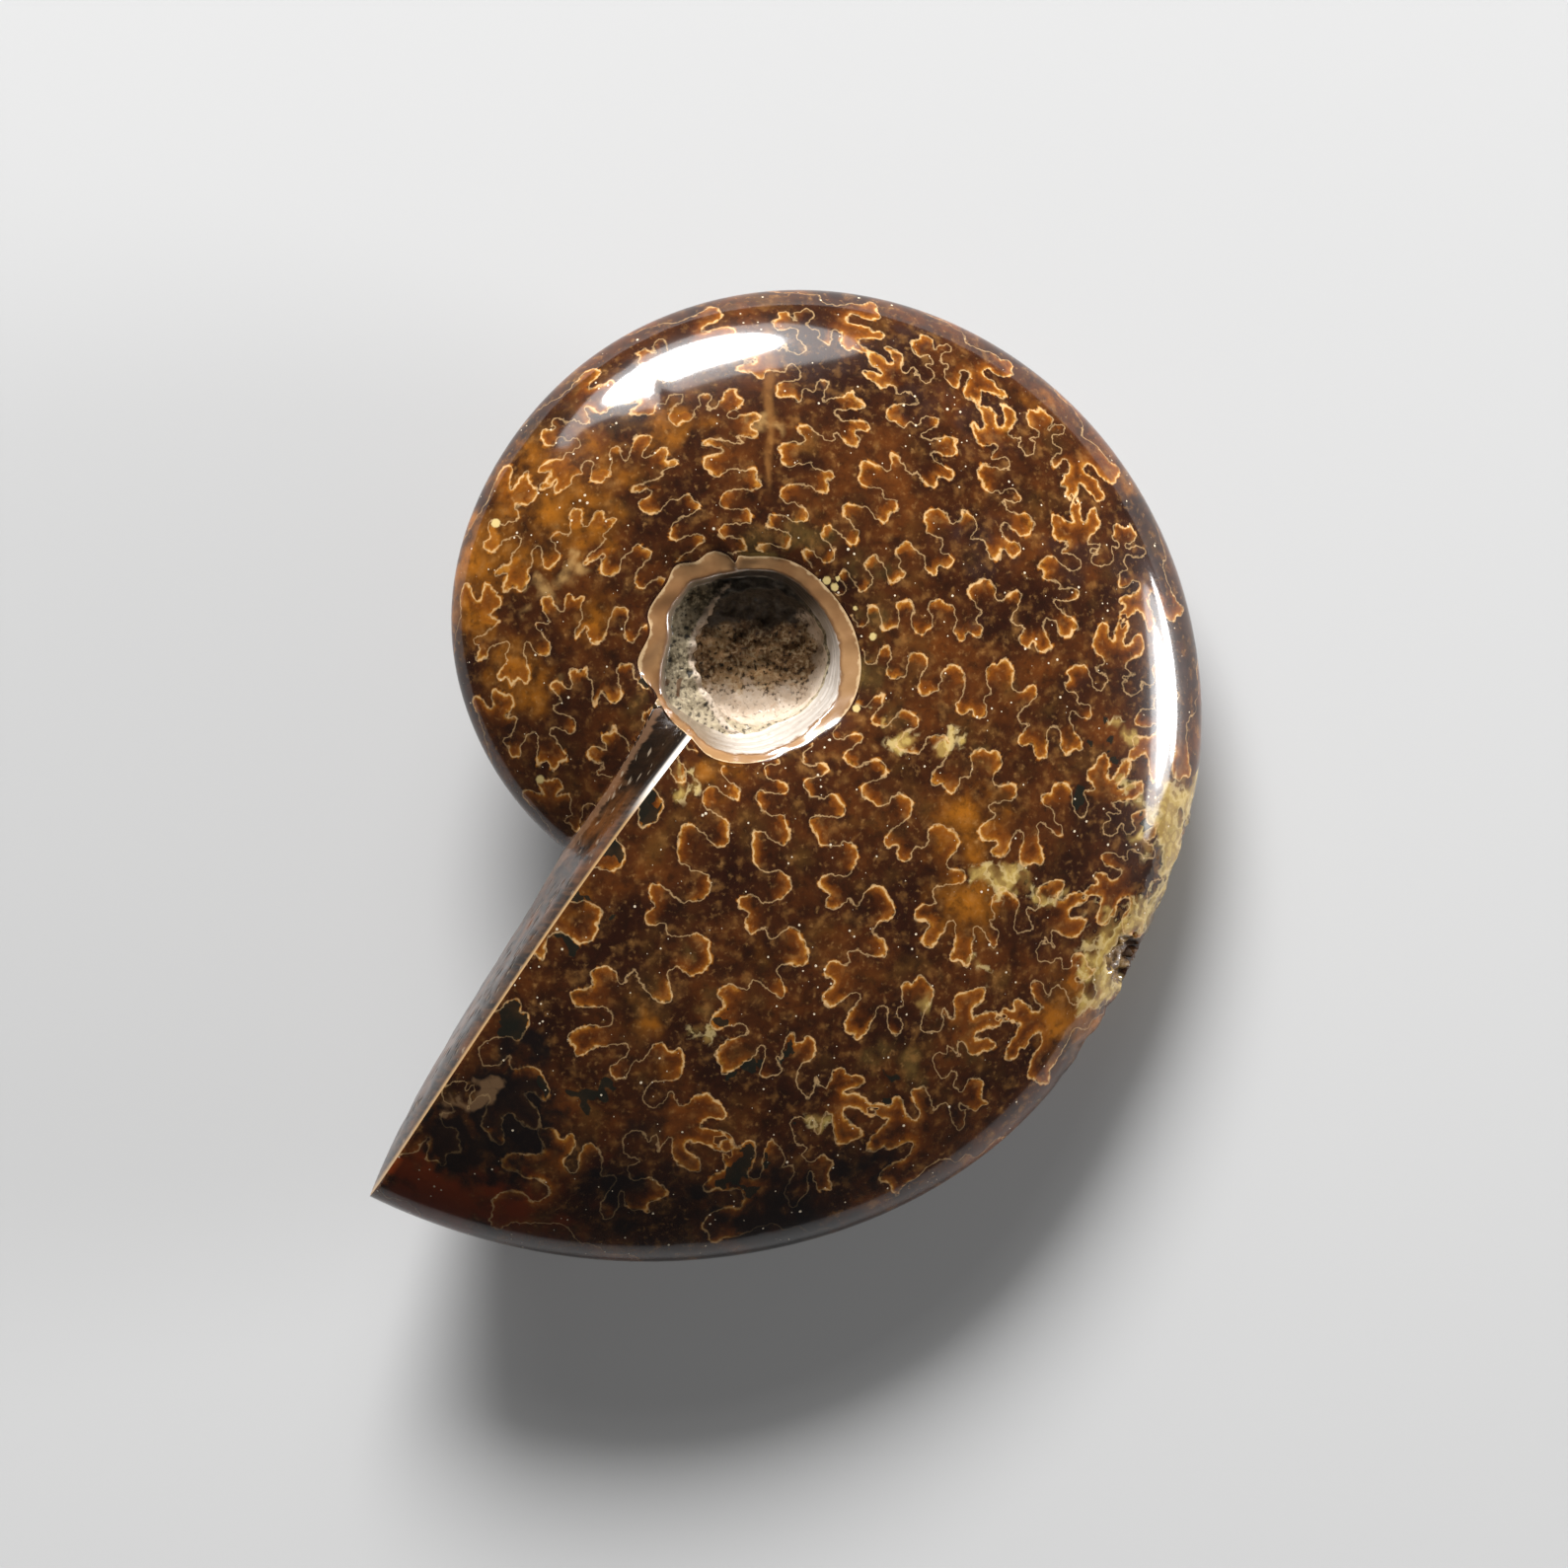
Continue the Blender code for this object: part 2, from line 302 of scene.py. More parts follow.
# %% [markdown]
# ## From the two numbers to a place
# Down is 0 at the bottom of the bowl, and each whole number is an edge that shows: 1 the bowl's rim, 2
# the foot of the umbilical wall, 3 the collar's outer edge, 4 the shell's outer edge, 5 the edge of the
# dish underneath, and 6 the middle of the dish. The collar's inner edge is at 2.6. Across is growth in
# degrees up to 360, and the end face fills the last stretch.

# %% A place on the shell
FACE_SPAN = 40.0
ACROSS_END = WHORL_TURN + FACE_SPAN
COLLAR_AT = 2.6              # down, at the collar's inner edge


def flank_ring(growth, share):
    """Radius and height at one share of the flank, measured from the collar to the outer edge."""
    start = ring_edge(APERTURE_ANGLE - growth, COLLAR_OUTER_EDGE)
    radius = start + (outline_radius(growth) - start) * share
    return radius, half_thickness(growth) * flank_profile(share)


def flank_place(across, share):
    """Radius, angle and height on the upper flank, or on the end face past the end of the whorl."""
    growth = np.clip(across, 0, WHORL_TURN)
    part = np.clip((across - WHORL_TURN) / FACE_SPAN, 0, 1)
    radius, height = flank_ring(growth, share)
    first_radius, first_height = flank_ring(np.zeros_like(growth), share)
    radius = radius + (first_radius - radius) * part
    height = height + (first_height - height) * part
    behind = np.where(across > WHORL_TURN, 0.0, 1 - smooth(growth / FOOT_BLEND))
    lead = np.where(across > WHORL_TURN, face_lead(radius, part), behind * face_lead(radius, 1.0))
    return radius, aperture_angle(radius) - growth - lead, height


def umbilicus_place(angle, collar_height, down):
    """Radius and height between the middle of the bowl and the collar's outer edge."""
    bowl = from_axis_to_circle(angle, BOWL_RADIUS, BOWL_OFFSET)
    inner = ring_edge(angle, COLLAR_INNER_EDGE)
    foot = np.maximum(inner - wall_run(angle), bowl + NARROWEST_LEDGE)
    share = np.sin(math.pi / 2 * np.clip(down, 0, 1))
    rise = 1 - (1 - share**BOWL_POWER) ** (1 / BOWL_POWER)
    radius = bowl * share
    height = BOWL_FLOOR + (LEDGE_HEIGHT - BOWL_FLOOR) * rise
    edges = (
        (1, bowl, LEDGE_HEIGHT), (2, foot, LEDGE_HEIGHT + LEDGE_RISE),
        (COLLAR_AT, np.maximum(inner, foot + NARROWEST_WALL), collar_height - COLLAR_DROP),
        (3, ring_edge(angle, COLLAR_OUTER_EDGE), collar_height),
    )
    for (start, from_radius, from_height), (end, to_radius, to_height) in zip(edges, edges[1:]):
        t = (down - start) / (end - start)
        inside = (t > 0) & (t <= 1)
        radius = np.where(inside, from_radius + (to_radius - from_radius) * t, radius)
        height = np.where(inside, from_height + (to_height - from_height) * t, height)
    return radius, height


def dish_place(angle, collar_height, down):
    """Radius and depth in the shallow dish of the hidden side."""
    share = np.clip(6 - down, 0, 1)
    floor_height = START_HALF_THICKNESS - DISH_DEPTH
    radius = ring_edge(angle, COLLAR_OUTER_EDGE) * share
    return radius, floor_height + (collar_height - floor_height) * share**DISH_POWER


def coil_place(across, down):
    """Radius, angle in degrees and height over the middle plane, all round the shell."""
    flank_share = np.sin(math.pi / 2 * np.clip(np.where(down < 4, down - 3, 5 - down), 0, 1))
    radius, angle, height = flank_place(across, flank_share)
    _, rim_angle, rim_height = flank_place(across, np.zeros_like(across))
    in_radius, in_height = umbilicus_place(rim_angle, rim_height, down)
    dish_radius, dish_height = dish_place(rim_angle, rim_height, down)
    above = down < 3
    below = down > 5
    radius = np.where(above, in_radius, np.where(below, dish_radius, radius))
    height = np.where(above, in_height, np.where(below, dish_height, height))
    angle = np.where(above | below, rim_angle, angle)
    return radius, angle, np.where(down > 4, -height, height)


def coil_point(across, down):
    """The same place as x, y, z in mm, in the coil's own frame."""
    radius, angle, height = coil_place(across, down)
    turn = np.radians(angle)
    return np.stack([radius * np.cos(turn), radius * np.sin(turn), height], axis=1)


print("outer edge after half a turn, mm:", coil_point(np.array([180.0]), np.array([4.0])).round(1)[0])

# %% [markdown]
# ## The suture line
# Where a wall between two chambers meets the shell it is folded like the edge of a leaf. The folds that
# point forwards are saddles, and those that point back are lobes. Every wall has the same folds, because
# the same animal made it, only larger each time. So one line is drawn on the unrolled shell, where x is
# the angle round the coil and y the distance in from the outer edge divided by the radius, both in
# hundredths of a radian. There the pattern keeps its size while the real one grows.

# %% The line of one suture
# From the outer edge, where y is 0, to the umbilicus. x is measured from the tip of the largest saddle.
SUTURE_LINE = (
    (-36, -3), (-36, 0.5), (-33, 3), (-29, 2.6), (-26, 4.4), (-23.5, 4.6), (-21.5, 7.4), (-18, 7.6),
    (-14.5, 6.6), (-12, 6.2), (-10, 4.4), (-8.6, 5.8), (-8, 8), (-7, 9.2), (-7.8, 11), (-10.5, 12),
    (-13.5, 11.6), (-15, 13.3), (-14.2, 14.6), (-12.5, 15), (-10, 14.9), (-8.6, 15.8), (-6.3, 15.4),
    (-4.9, 16.8), (-6, 18.4), (-8, 19.2), (-10.9, 20.3), (-9.6, 22.3), (-8.4, 24.4), (-10.5, 25),
    (-12.3, 23.4), (-13.5, 24.8), (-15.1, 24), (-15.8, 22), (-15.8, 19.4), (-17, 17.8), (-18.3, 17.6),
    (-18.8, 18.8), (-18.2, 20.6), (-18, 22.8), (-19, 24.3), (-20.5, 23.6), (-21.7, 22.4), (-22.4, 20.4),
    (-22.6, 18.2), (-24, 18.4), (-25.2, 18.2), (-25.9, 17), (-25.4, 15), (-24.7, 13.4), (-25.4, 11.6),
    (-26.5, 10.6), (-28, 12), (-28.8, 13.2), (-28.4, 15), (-29.2, 15.6), (-30, 13.6), (-31, 12),
    (-32.5, 12.2), (-34.3, 11.9), (-33.6, 14), (-35.3, 16), (-33.6, 18), (-32, 19), (-30, 17.8),
    (-28.7, 18.6), (-28, 20.2), (-29.4, 21.6), (-28.6, 22.6), (-27, 22.4), (-25.8, 23.8), (-25.3, 25.5),
    (-26.2, 27.2), (-27.8, 27.8), (-29, 27.2), (-29.6, 26.2), (-30.4, 27.6), (-31.1, 26.8), (-31.4, 24.8),
    (-32.1, 23.7), (-32.7, 25.4), (-33.6, 26.9), (-34.8, 25.8), (-35.6, 23.4), (-36.8, 21.1), (-38.6, 20.2),
    (-40.6, 19.7), (-42.2, 20.2), (-41.2, 22), (-39.5, 23.7), (-38.6, 25.3), (-39.6, 26.1), (-42, 24.9),
    (-44.4, 23.4), (-46.6, 23.4), (-46.4, 25.8), (-43.4, 28), (-40.6, 29.2), (-41.6, 30.6), (-44.4, 30.2),
    (-46, 31.3), (-44.6, 33.2), (-42, 34.2), (-40, 35.6), (-37.6, 35.3), (-36.6, 33.8), (-35, 33),
    (-33.9, 34), (-33.3, 35.6), (-32.1, 35), (-31.4, 33.3), (-29.4, 32.2), (-28, 33), (-26.5, 34.1),
    (-26, 36), (-27.4, 37.6), (-29.4, 38.4), (-31.6, 38.9), (-33.2, 40.2), (-33.4, 42), (-32.6, 44.4),
    (-31.2, 45.8), (-29.6, 45.2), (-28.5, 44.9), (-27.6, 46.3), (-26, 46.7), (-24.9, 45.2), (-24.4, 43),
    (-23.2, 42), (-21.9, 42.8), (-21.1, 41.4), (-21.3, 39.2), (-20, 37.9), (-18, 37.6), (-16.7, 39),
    (-17, 41.5), (-18, 43.5), (-18.3, 45.2), (-17, 45.9), (-15.5, 45.3), (-14, 43.9), (-12.3, 42.9),
    (-11, 41.2), (-8.8, 40.1), (-7.3, 40.4), (-7.1, 42), (-5.5, 42.8), (-4.3, 44.2), (-5.1, 46.1),
    (-7.2, 47.4), (-10, 48.1), (-11.9, 49.1), (-12.1, 50.8), (-10.8, 51.9), (-8.6, 52.1), (-6.6, 51.4),
    (-4.3, 51.4), (-2.2, 50.7), (-0.6, 51.7), (0.4, 53.5), (-0.6, 54.9), (-2.8, 55.7), (-4.1, 56.7),
    (-2.9, 58), (-1.4, 59.3), (-1.8, 61.2), (-3.6, 62.5), (-6.5, 62), (-8.5, 60.5), (-10.2, 59.5),
    (-11.5, 59.8), (-11.3, 61.7), (-12.3, 63.4), (-14, 63), (-16, 61.3), (-18, 59.7), (-20, 58),
    (-22.2, 57), (-24.4, 57.1), (-25.4, 58.6), (-24.5, 60.5), (-23, 62.5), (-22.2, 64.4), (-23.4, 66),
    (-25.6, 66.1), (-28, 65.4), (-30.5, 65), (-32.7, 66), (-34.5, 68), (-34.1, 70), (-32.7, 72),
    (-32.6, 74.5), (-30.5, 76.6), (-27.5, 77.5), (-24.5, 76.5), (-21.5, 75.2), (-18.9, 75.1), (-17.8, 76.6),
    (-16.9, 78.4), (-14.5, 78), (-11.7, 77.2), (-9, 77.8), (-7.4, 79.9), (-8.4, 82), (-10.6, 83.4),
    (-9.4, 84.9), (-7.1, 86.5), (-6.5, 88.6), (-8.4, 90.2), (-12.3, 90.4), (-15, 89.3), (-17.5, 88.1),
    (-20.5, 87.4), (-24, 87.6), (-27.4, 88.5), (-30.4, 89.9), (-31.9, 92), (-31.6, 95), (-30, 97.8),
    (-27.2, 99.2), (-23.5, 99.4), (-20, 100.7), (-17, 101.7), (-15.1, 103.6), (-14.3, 106), (-13.1, 108.5),
    (-13.8, 111), (-16.2, 112.4), (-19.5, 111.9), (-23, 111.3), (-26.2, 110), (-29.7, 108.3),
    (-33.3, 107.1), (-36.6, 107.5), (-38.5, 109.5), (-38.3, 112), (-39, 114.6), (-37.4, 116.9),
    (-34.5, 118), (-31.6, 118.1), (-29, 119.5), (-26, 120.4), (-23, 121.3), (-21.6, 123.1), (-21.7, 125.4),
    (-20.7, 127.6), (-20.1, 130), (-20.9, 132.6), (-22.8, 134.4), (-26, 134.6), (-30, 133.4), (-35, 131.6),
    (-40, 130), (-44, 129.6), (-46.4, 131.2), (-46.5, 134), (-44.4, 136.9), (-41, 139), (-37, 140.5),
    (-33, 142.4), (-30.6, 145), (-29.7, 148), (-30.6, 151), (-33.2, 152.9), (-37, 153.3), (-41, 152.7),
    (-45, 152.8), (-47.5, 154.7), (-47.3, 157.6), (-44.6, 160.3), (-40.2, 162.7), (-37.8, 165.5),
    (-37.8, 169), (-40, 172), (-45, 174), (-52, 176),
)
# Where the largest saddle of each wall ends on the unrolled shell, as the photograph shows them.
SADDLE_TIPS = (
    37, 75, 113, 154, 195, 234.5, 279.5, 317.5, 355.5, 391.5, 429, 465, 500, 534.5, 567, 604, 638,
)
DRAWN_SPACING = 38.0         # between the suture that was drawn and the one before it
# The flank is taller for its radius at some growths, in degrees, and the folds stretch with it.
STRETCH_GROWTH = (20, 43, 65, 88, 112, 134, 160, 182, 245, 286, 306, 345)
STRETCH = (1.05, 1.03, 1.0, 0.97, 0.96, 0.96, 0.975, 1.0, 1.045, 1.09, 1.11, 1.11)
# Each change below starts at the first number of its pair and is whole at the second.
EARLY_LEAD = 9.0             # how far the low folds of the first walls run ahead
EARLY_GROWTH = (178, 118)
EARLY_ROWS = (57, 67)        # y of those folds
LATE_GROWTH = (235, 325)
LATE_LEAD = 0.2              # how far the last walls run ahead, for each unit of y past LATE_ROW
LATE_ROW = 80
LATE_DROP = 8.0              # how much lower the lowest folds of the last walls lie
LATE_DROP_ROWS = (101, 115)
SIMPLER = 0.3                # how much each of SMOOTHINGS passes takes from the first walls' small folds
SIMPLER_GROWTH = (150, 60)
SMOOTHINGS = 3
WIDTH_LIMITS = (0.86, 1.1)   # how narrow and wide the folds may get where walls stand close or far apart
FOLD_REACH = 9.0             # over which a place is set against the line without its folds
CHANGE = 0.45                # how much each wall's line differs from the one that was drawn
CHANGE_WAVES = 10            # long waves that this change is made of
CHANGE_LENGTHS = (7, 16)     # the shortest and the longest of them
print("one suture:", len(SUTURE_LINE), "drawn points, for", len(SADDLE_TIPS), "walls")


# %% Every suture, from the one that was drawn
def part_way(value, start, full):
    """Goes from 0 at start to 1 at full."""
    return (value - start) / (full - start)


def change(places, seed):
    """Moves places on a plane a little, in long waves, so that no two sutures are quite the same."""
    rng = np.random.default_rng(seed)
    total = np.zeros_like(places)
    for _ in range(CHANGE_WAVES):
        wave = rng.normal(size=2)
        wave *= 2 * math.pi / (rng.uniform(*CHANGE_LENGTHS) * np.hypot(*wave))
        total += rng.normal(size=2) * np.sin(places @ wave + rng.uniform(0, 2 * math.pi))[:, None]
    return places + CHANGE * total / math.sqrt(CHANGE_WAVES / 2)


def suture(number):
    """One suture on the unrolled shell, and how far its places are ahead of the line without folds."""
    tip = SADDLE_TIPS[number]
    spacing = tip - SADDLE_TIPS[number - 1] if number else DRAWN_SPACING
    growth = math.degrees(tip / 100)
    places = change(np.array(SUTURE_LINE, float), number)
    simpler = SIMPLER * smooth(part_way(growth, *SIMPLER_GROWTH))
    for _ in range(SMOOTHINGS):
        places[1:-1] += simpler * (places[:-2] + places[2:] - 2 * places[1:-1])
    x, y = rounded(places).T
    near = np.exp(-((y[:, None] - y[None, ::LINE_STEPS]) / FOLD_REACH) ** 2)
    ahead = x - near @ x[::LINE_STEPS] / near.sum(axis=1)
    late = max(part_way(growth, *LATE_GROWTH), 0)
    x = tip + x * np.clip(spacing / DRAWN_SPACING, *WIDTH_LIMITS)
    x = x + LATE_LEAD * late * np.maximum(y - LATE_ROW, 0)
    x = x + EARLY_LEAD * smooth(part_way(growth, *EARLY_GROWTH)) * smooth(part_way(y, *EARLY_ROWS))
    drop = LATE_DROP * min(late, 1) * smooth(part_way(y, *LATE_DROP_ROWS))
    return np.stack([x, y * np.interp(growth, STRETCH_GROWTH, STRETCH) + drop], axis=1), ahead


# %% [markdown]
# ## All the sutures
# Seventeen walls show. Two numbers are kept at each place of the shell: the distance to the nearest line
# in mm, whose sign is that of its chamber, and how far the place is inside the tip of a fold, because the
# calcite glows orange there.

# %% Unrolling the shell
ARC_STEPS = 28
FAR = 9.0                    # a distance that no mark reaches, mm
GLOW_AHEAD = (2, 12)         # how far ahead of the line without folds the glow starts, and is full


def inward(across, down):
    """Distance in from the outer edge over the radius, along the section, in hundredths of a radian."""
    share_from_edge = np.clip(np.abs(4 - down), 0, 1)
    total = np.zeros_like(across)
    last = None
    for k in range(ARC_STEPS + 1):
        t = 1 - share_from_edge * k / ARC_STEPS
        radius, _, height = flank_place(across, np.sin(math.pi / 2 * t))
        if last is not None:
            total += np.hypot(radius - last[0], height - last[1]) / (radius + last[0]) * 2
        last = (radius, height)
    return 100 * total


# %% All the lines, and where the nearest one is
sutures = [suture(number) for number in range(len(SADDLE_TIPS))]
line_places = np.concatenate([places for places, _ in sutures])
line_ahead = np.concatenate([ahead for _, ahead in sutures])
line_along = np.concatenate([np.gradient(places, axis=0) for places, _ in sutures])
line_number = np.repeat(np.arange(len(sutures)), [len(places) for places, _ in sutures])
line_tree = KDTree(len(line_places))
for k, (x, y) in enumerate(line_places):
    line_tree.insert((x, y, 0), k)
line_tree.balance()
print("sutures:", len(sutures), "with", len(line_places), "places")


def suture_fields(across, down):
    """Distance in mm to the nearest suture, signed by chamber, and the glow in the tips of its folds."""
    radius, angle, _ = coil_place(across, down)
    places = np.stack([np.radians(APERTURE_ANGLE - angle) * 100, inward(across, down)], axis=1)
    nearest = np.array([line_tree.find((x, y, 0))[1] for x, y in places])
    gap = places - line_places[nearest]
    along = line_along[nearest]
    in_front = along[:, 0] * gap[:, 1] - along[:, 1] * gap[:, 0] < 0
    chamber = line_number[nearest] + in_front
    distance = np.hypot(*gap.T) * radius / 100 * np.where(chamber % 2, -1, 1)
    inside = line_ahead[nearest] * np.where(in_front, -1, 1)
    on_flank = (down > 3) & (down < 5) & (across <= WHORL_TURN)
    return np.where(on_flank, distance, FAR), np.where(on_flank, smooth(part_way(inside, *GLOW_AHEAD)), 0)


# %% [markdown]
# ## Wear and broken places
# The polisher's wheel left the flanks smooth, but not everything else. A splinter broke out of the outer
# edge at the lower right, and the edge above it is chipped. The stone in the umbilicus is rough, with the
# broken rim of an inner whorl standing on it. All this is relief, so it is worked out as short moves of
# the mesh's own points.

# %% Sizes of the wear and the relief
WAVES = 26                   # waves that an uneven surface is made of
WAVE_LENGTHS = (0.7, 1.6)    # the shortest and the longest, times the size of the lumps
CHIP_ANGLE = -38.5
CHIP_RADIUS = 31.6           # of the splinter's middle, from the coil's axis, mm
CHIP_HEIGHT = 2.6
CHIP_SIZE = (3.0, 2.0, 3.0)  # its half extent outwards, along the edge and upwards
WORN_EDGE = (-56, -14)       # degrees round the coil, where the outer edge is chipped
WORN_WIDTH = 0.16            # down
RING_MIDDLE = (1.1, 0.2)
RING_RADIUS = 5.35           # of the inner whorl's rim
RING_WIDTH = 0.17
RING_HEIGHT = 0.28
BROKEN_PART = (118, 192)     # of the rim, degrees
WHOLE_PART = (182, 262)
GROWTH_LAYER = 0.55          # mm from one ridge of the umbilical wall to the next
# Heights of the relief and sizes of its lumps, in mm.
LUMP = 1.1
GRAIN = 0.42
STONE_LUMPS = 0.07
SANDY_LUMPS = 0.06           # on top of that, on the sandy side of the bowl
STONE_GRAIN = 0.045
PORE_DEPTH = 0.09
WALL_RIDGES = 0.035
COLLAR_WAVES = 0.04
FACE_WAVES = 0.025
PIT_DEPTH = 0.04
EDGE_WEAR = 0.14
EDGE_LUMPS = 0.1
EDGE_GRAIN = 0.06
DISH_LUMPS = 0.06
DISH_GRAIN = 0.04
# Where it lies, in the number down.
STONE_END = 2.1
WALL_ZONE = (2.0, 2.75)
COLLAR_ZONE = (2.5, 3.02)
FACE_ZONE = (3.03, 4.6)
DISH_START = 5.05


# %% Uneven surfaces
def ripples(points, size, seed):
    """Unevenness from -1 to 1 or so, from waves in random directions, with lumps about size mm across."""
    rng = np.random.default_rng(seed)
    total = np.zeros(len(points))
    for _ in range(WAVES):
        direction = rng.normal(size=3)
        direction *= 2 * math.pi / (size * rng.uniform(*WAVE_LENGTHS) * np.linalg.norm(direction))
        total += np.sin(points @ direction + rng.uniform(0, 2 * math.pi))
    return total / math.sqrt(WAVES)


def between(value, low, high, margin):
    """1 between two limits, and 0 outside them, with a soft change in the margin inside each limit."""
    return smooth((value - low) / margin) * smooth((high - value) / margin)


# %% The splinter's scar
def chip_frame(points):
    """Places and directions as seen from the splinter, where its surface is a ball of radius 1."""
    turn = math.radians(CHIP_ANGLE)
    axes = np.array(((math.cos(turn), math.sin(turn), 0), (-math.sin(turn), math.cos(turn), 0), (0, 0, 1)))
    middle = np.array((CHIP_RADIUS * math.cos(turn), CHIP_RADIUS * math.sin(turn), CHIP_HEIGHT))
    return (points - middle) @ axes.T / CHIP_SIZE, axes


def chip_depth(points, normals):
    """How far each place is pushed in, against its normal, to lie on the surface that the splinter left."""
    place, axes = chip_frame(points)
    inwards = -(normals @ axes.T) / CHIP_SIZE
    a = np.sum(inwards**2, axis=1)
    b = np.sum(inwards * place, axis=1)
    ball = 1 + 0.13 * ripples(points, 1.3, 11) + 0.05 * ripples(points, 0.5, 12)
    c = np.sum(place**2, axis=1) - ball**2
    root = np.sqrt(np.maximum(b**2 - a * c, 0))
    return np.where(c < 0, (root - b) / a, 0)


# %% The stone, its holes and the inner whorl's rim
def pores(points):
    """Small dark holes in the stone: 1 in their middle."""
    return smooth((ripples(points, 0.55, 31) * ripples(points, 0.8, 32) - 0.8) / 0.5)


def pits(points):
    """Bubbles that the polishing opened in the glassy end face."""
    return smooth((ripples(points, 0.9, 33) * ripples(points, 0.7, 34) - 0.6) / 0.4)


def bowl_bottom(points):
    """1 on the smooth cream lining, along the lower side of the bowl, and 0 on the sandy stone."""
    x, y = points[:, 0] - BOWL_OFFSET[0], points[:, 1] - BOWL_OFFSET[1]
    lower = -y - 1.9 + 0.35 * ripples(points, 1.3, 22) + 0.12 * ripples(points, 0.5, 24)
    right = np.hypot(x, y) - 3.7 + 0.12 * ripples(points, 1.2, 25)
    return np.maximum(smooth(lower / 2.8 + 0.5), smooth(right / 0.5 + 0.5) * smooth((x - 1.6) / 1.2))


def ring_cover(points):
    """Where the inner whorl's rim stands on the ledge: its broken part, and its whole part."""
    x, y = points[:, 0] - RING_MIDDLE[0], points[:, 1] - RING_MIDDLE[1]
    turn = np.degrees(np.arctan2(y, x)) % 360
    radius = RING_RADIUS + 0.16 * ripples(points * (1, 1, 0), 3.0, 21)
    ring = np.exp(-(((np.hypot(x, y) - radius) / RING_WIDTH) ** 2))
    return ring * between(turn, *BROKEN_PART, 10), ring * between(turn, *WHOLE_PART, 14)


# %% The whole relief
def relief(points, normals, across, down):
    """How far each place stands out from the smooth form, along its normal, in mm."""
    angle = np.degrees(np.arctan2(points[:, 1], points[:, 0]))
    stone = smooth((STONE_END - down) / 0.15)
    pale = bowl_bottom(points)
    height = stone * (STONE_LUMPS + SANDY_LUMPS * (down < 1) * (1 - pale)) * ripples(points, LUMP, 1)
    grain = STONE_GRAIN * ripples(points, GRAIN, 2) - PORE_DEPTH * pores(points)
    height += stone * (1 - 0.6 * pale) * grain
    broken, whole = ring_cover(points)
    height += stone * RING_HEIGHT * (whole + broken * (0.5 + 0.6 * ripples(points, 0.55, 3)))
    wall = between(down, *WALL_ZONE, 0.12) * WALL_RIDGES
    height += wall * np.sin(points[:, 2] * 2 * math.pi / GROWTH_LAYER + ripples(points, 4.0, 4))
    height += between(down, *COLLAR_ZONE, 0.1) * COLLAR_WAVES * ripples(points, 1.6, 5)
    end_face = between(across, WHORL_TURN + 3, ACROSS_END - 1, 5) * between(down, *FACE_ZONE, 0.06)
    height += end_face * (FACE_WAVES * ripples(points, 2.2, 6) - PIT_DEPTH * pits(points))
    edge = between(angle, *WORN_EDGE, 6) * np.exp(-(((down - 4) / WORN_WIDTH) ** 2))
    chipping = EDGE_WEAR + EDGE_LUMPS * ripples(points, 1.8, 7) + EDGE_GRAIN * ripples(points, 0.6, 8)
    height -= edge * (across <= WHORL_TURN) * chipping
    dish = smooth((down - DISH_START) / 0.15)
    height += dish * (DISH_LUMPS * ripples(points, LUMP, 9) + DISH_GRAIN * ripples(points, GRAIN, 10))
    return height - chip_depth(points, normals)


# %% [markdown]
# ## The mesh
# A flat grid is made first, in the two numbers. It is subdivided where its cells would be too long on the
# shell, and once more along the suture lines, so that their edges stay crisp. Only then is it rolled up
# into the shell.

# %% Sizes of the sheet
ROWS = (0, 10, 16, 20, 23, 51, 79, 85)
ROWS_DOWN = (0, 1, 2, COLLAR_AT, 3, 4, 5, 6)  # down, at each of ROWS
WHORL_COLUMNS = 120
COLUMNS = WHORL_COLUMNS + 10  # the rest are the end face's
PLAIN_CELL = 0.42            # mm
HIDDEN_CELL = 0.7            # on the side that the shell lies on
FINE_CELL = 0.19             # in the umbilicus, at the splinter and on the end face
LINE_CELL = 0.19
HIDDEN_LINE_CELL = 0.42
LINE_BAND = 0.3              # mm on each side of a line
CHIP_BAND = 1.35             # times the size of the splinter
HIDDEN_FROM = 4.2
TOO_LONG = 1.45              # times its cell
PASSES = 4
MERGE_DISTANCE = 1e-4        # mm


# %% How fine the sheet has to be
def sheet_numbers(flat):
    """Across and down for places on the flat sheet."""
    column = (flat[:, 0] + 0.5) * COLUMNS
    across = np.interp(column, (0, WHORL_COLUMNS, COLUMNS), (0, WHORL_TURN, ACROSS_END))
    return across, np.interp((flat[:, 1] + 0.5) * ROWS[-1], ROWS, ROWS_DOWN)


def wanted_cell(across, down, points, near_line):
    """The size of cell that each place needs. The sheet's two ends, which meet, ask for the same."""
    hidden = down > HIDDEN_FROM
    cell = np.where(hidden, HIDDEN_CELL, PLAIN_CELL)
    cell = np.where(near_line & (across > 0), np.where(hidden, HIDDEN_LINE_CELL, LINE_CELL), cell)
    chip = np.linalg.norm(chip_frame(points)[0], axis=1) < CHIP_BAND
    face = ((across >= WHORL_TURN) | (across <= 0)) & ~hidden
    cell = np.where(face | chip | (down < 3), FINE_CELL, cell)
    return np.where(down > 5, HIDDEN_LINE_CELL, cell)


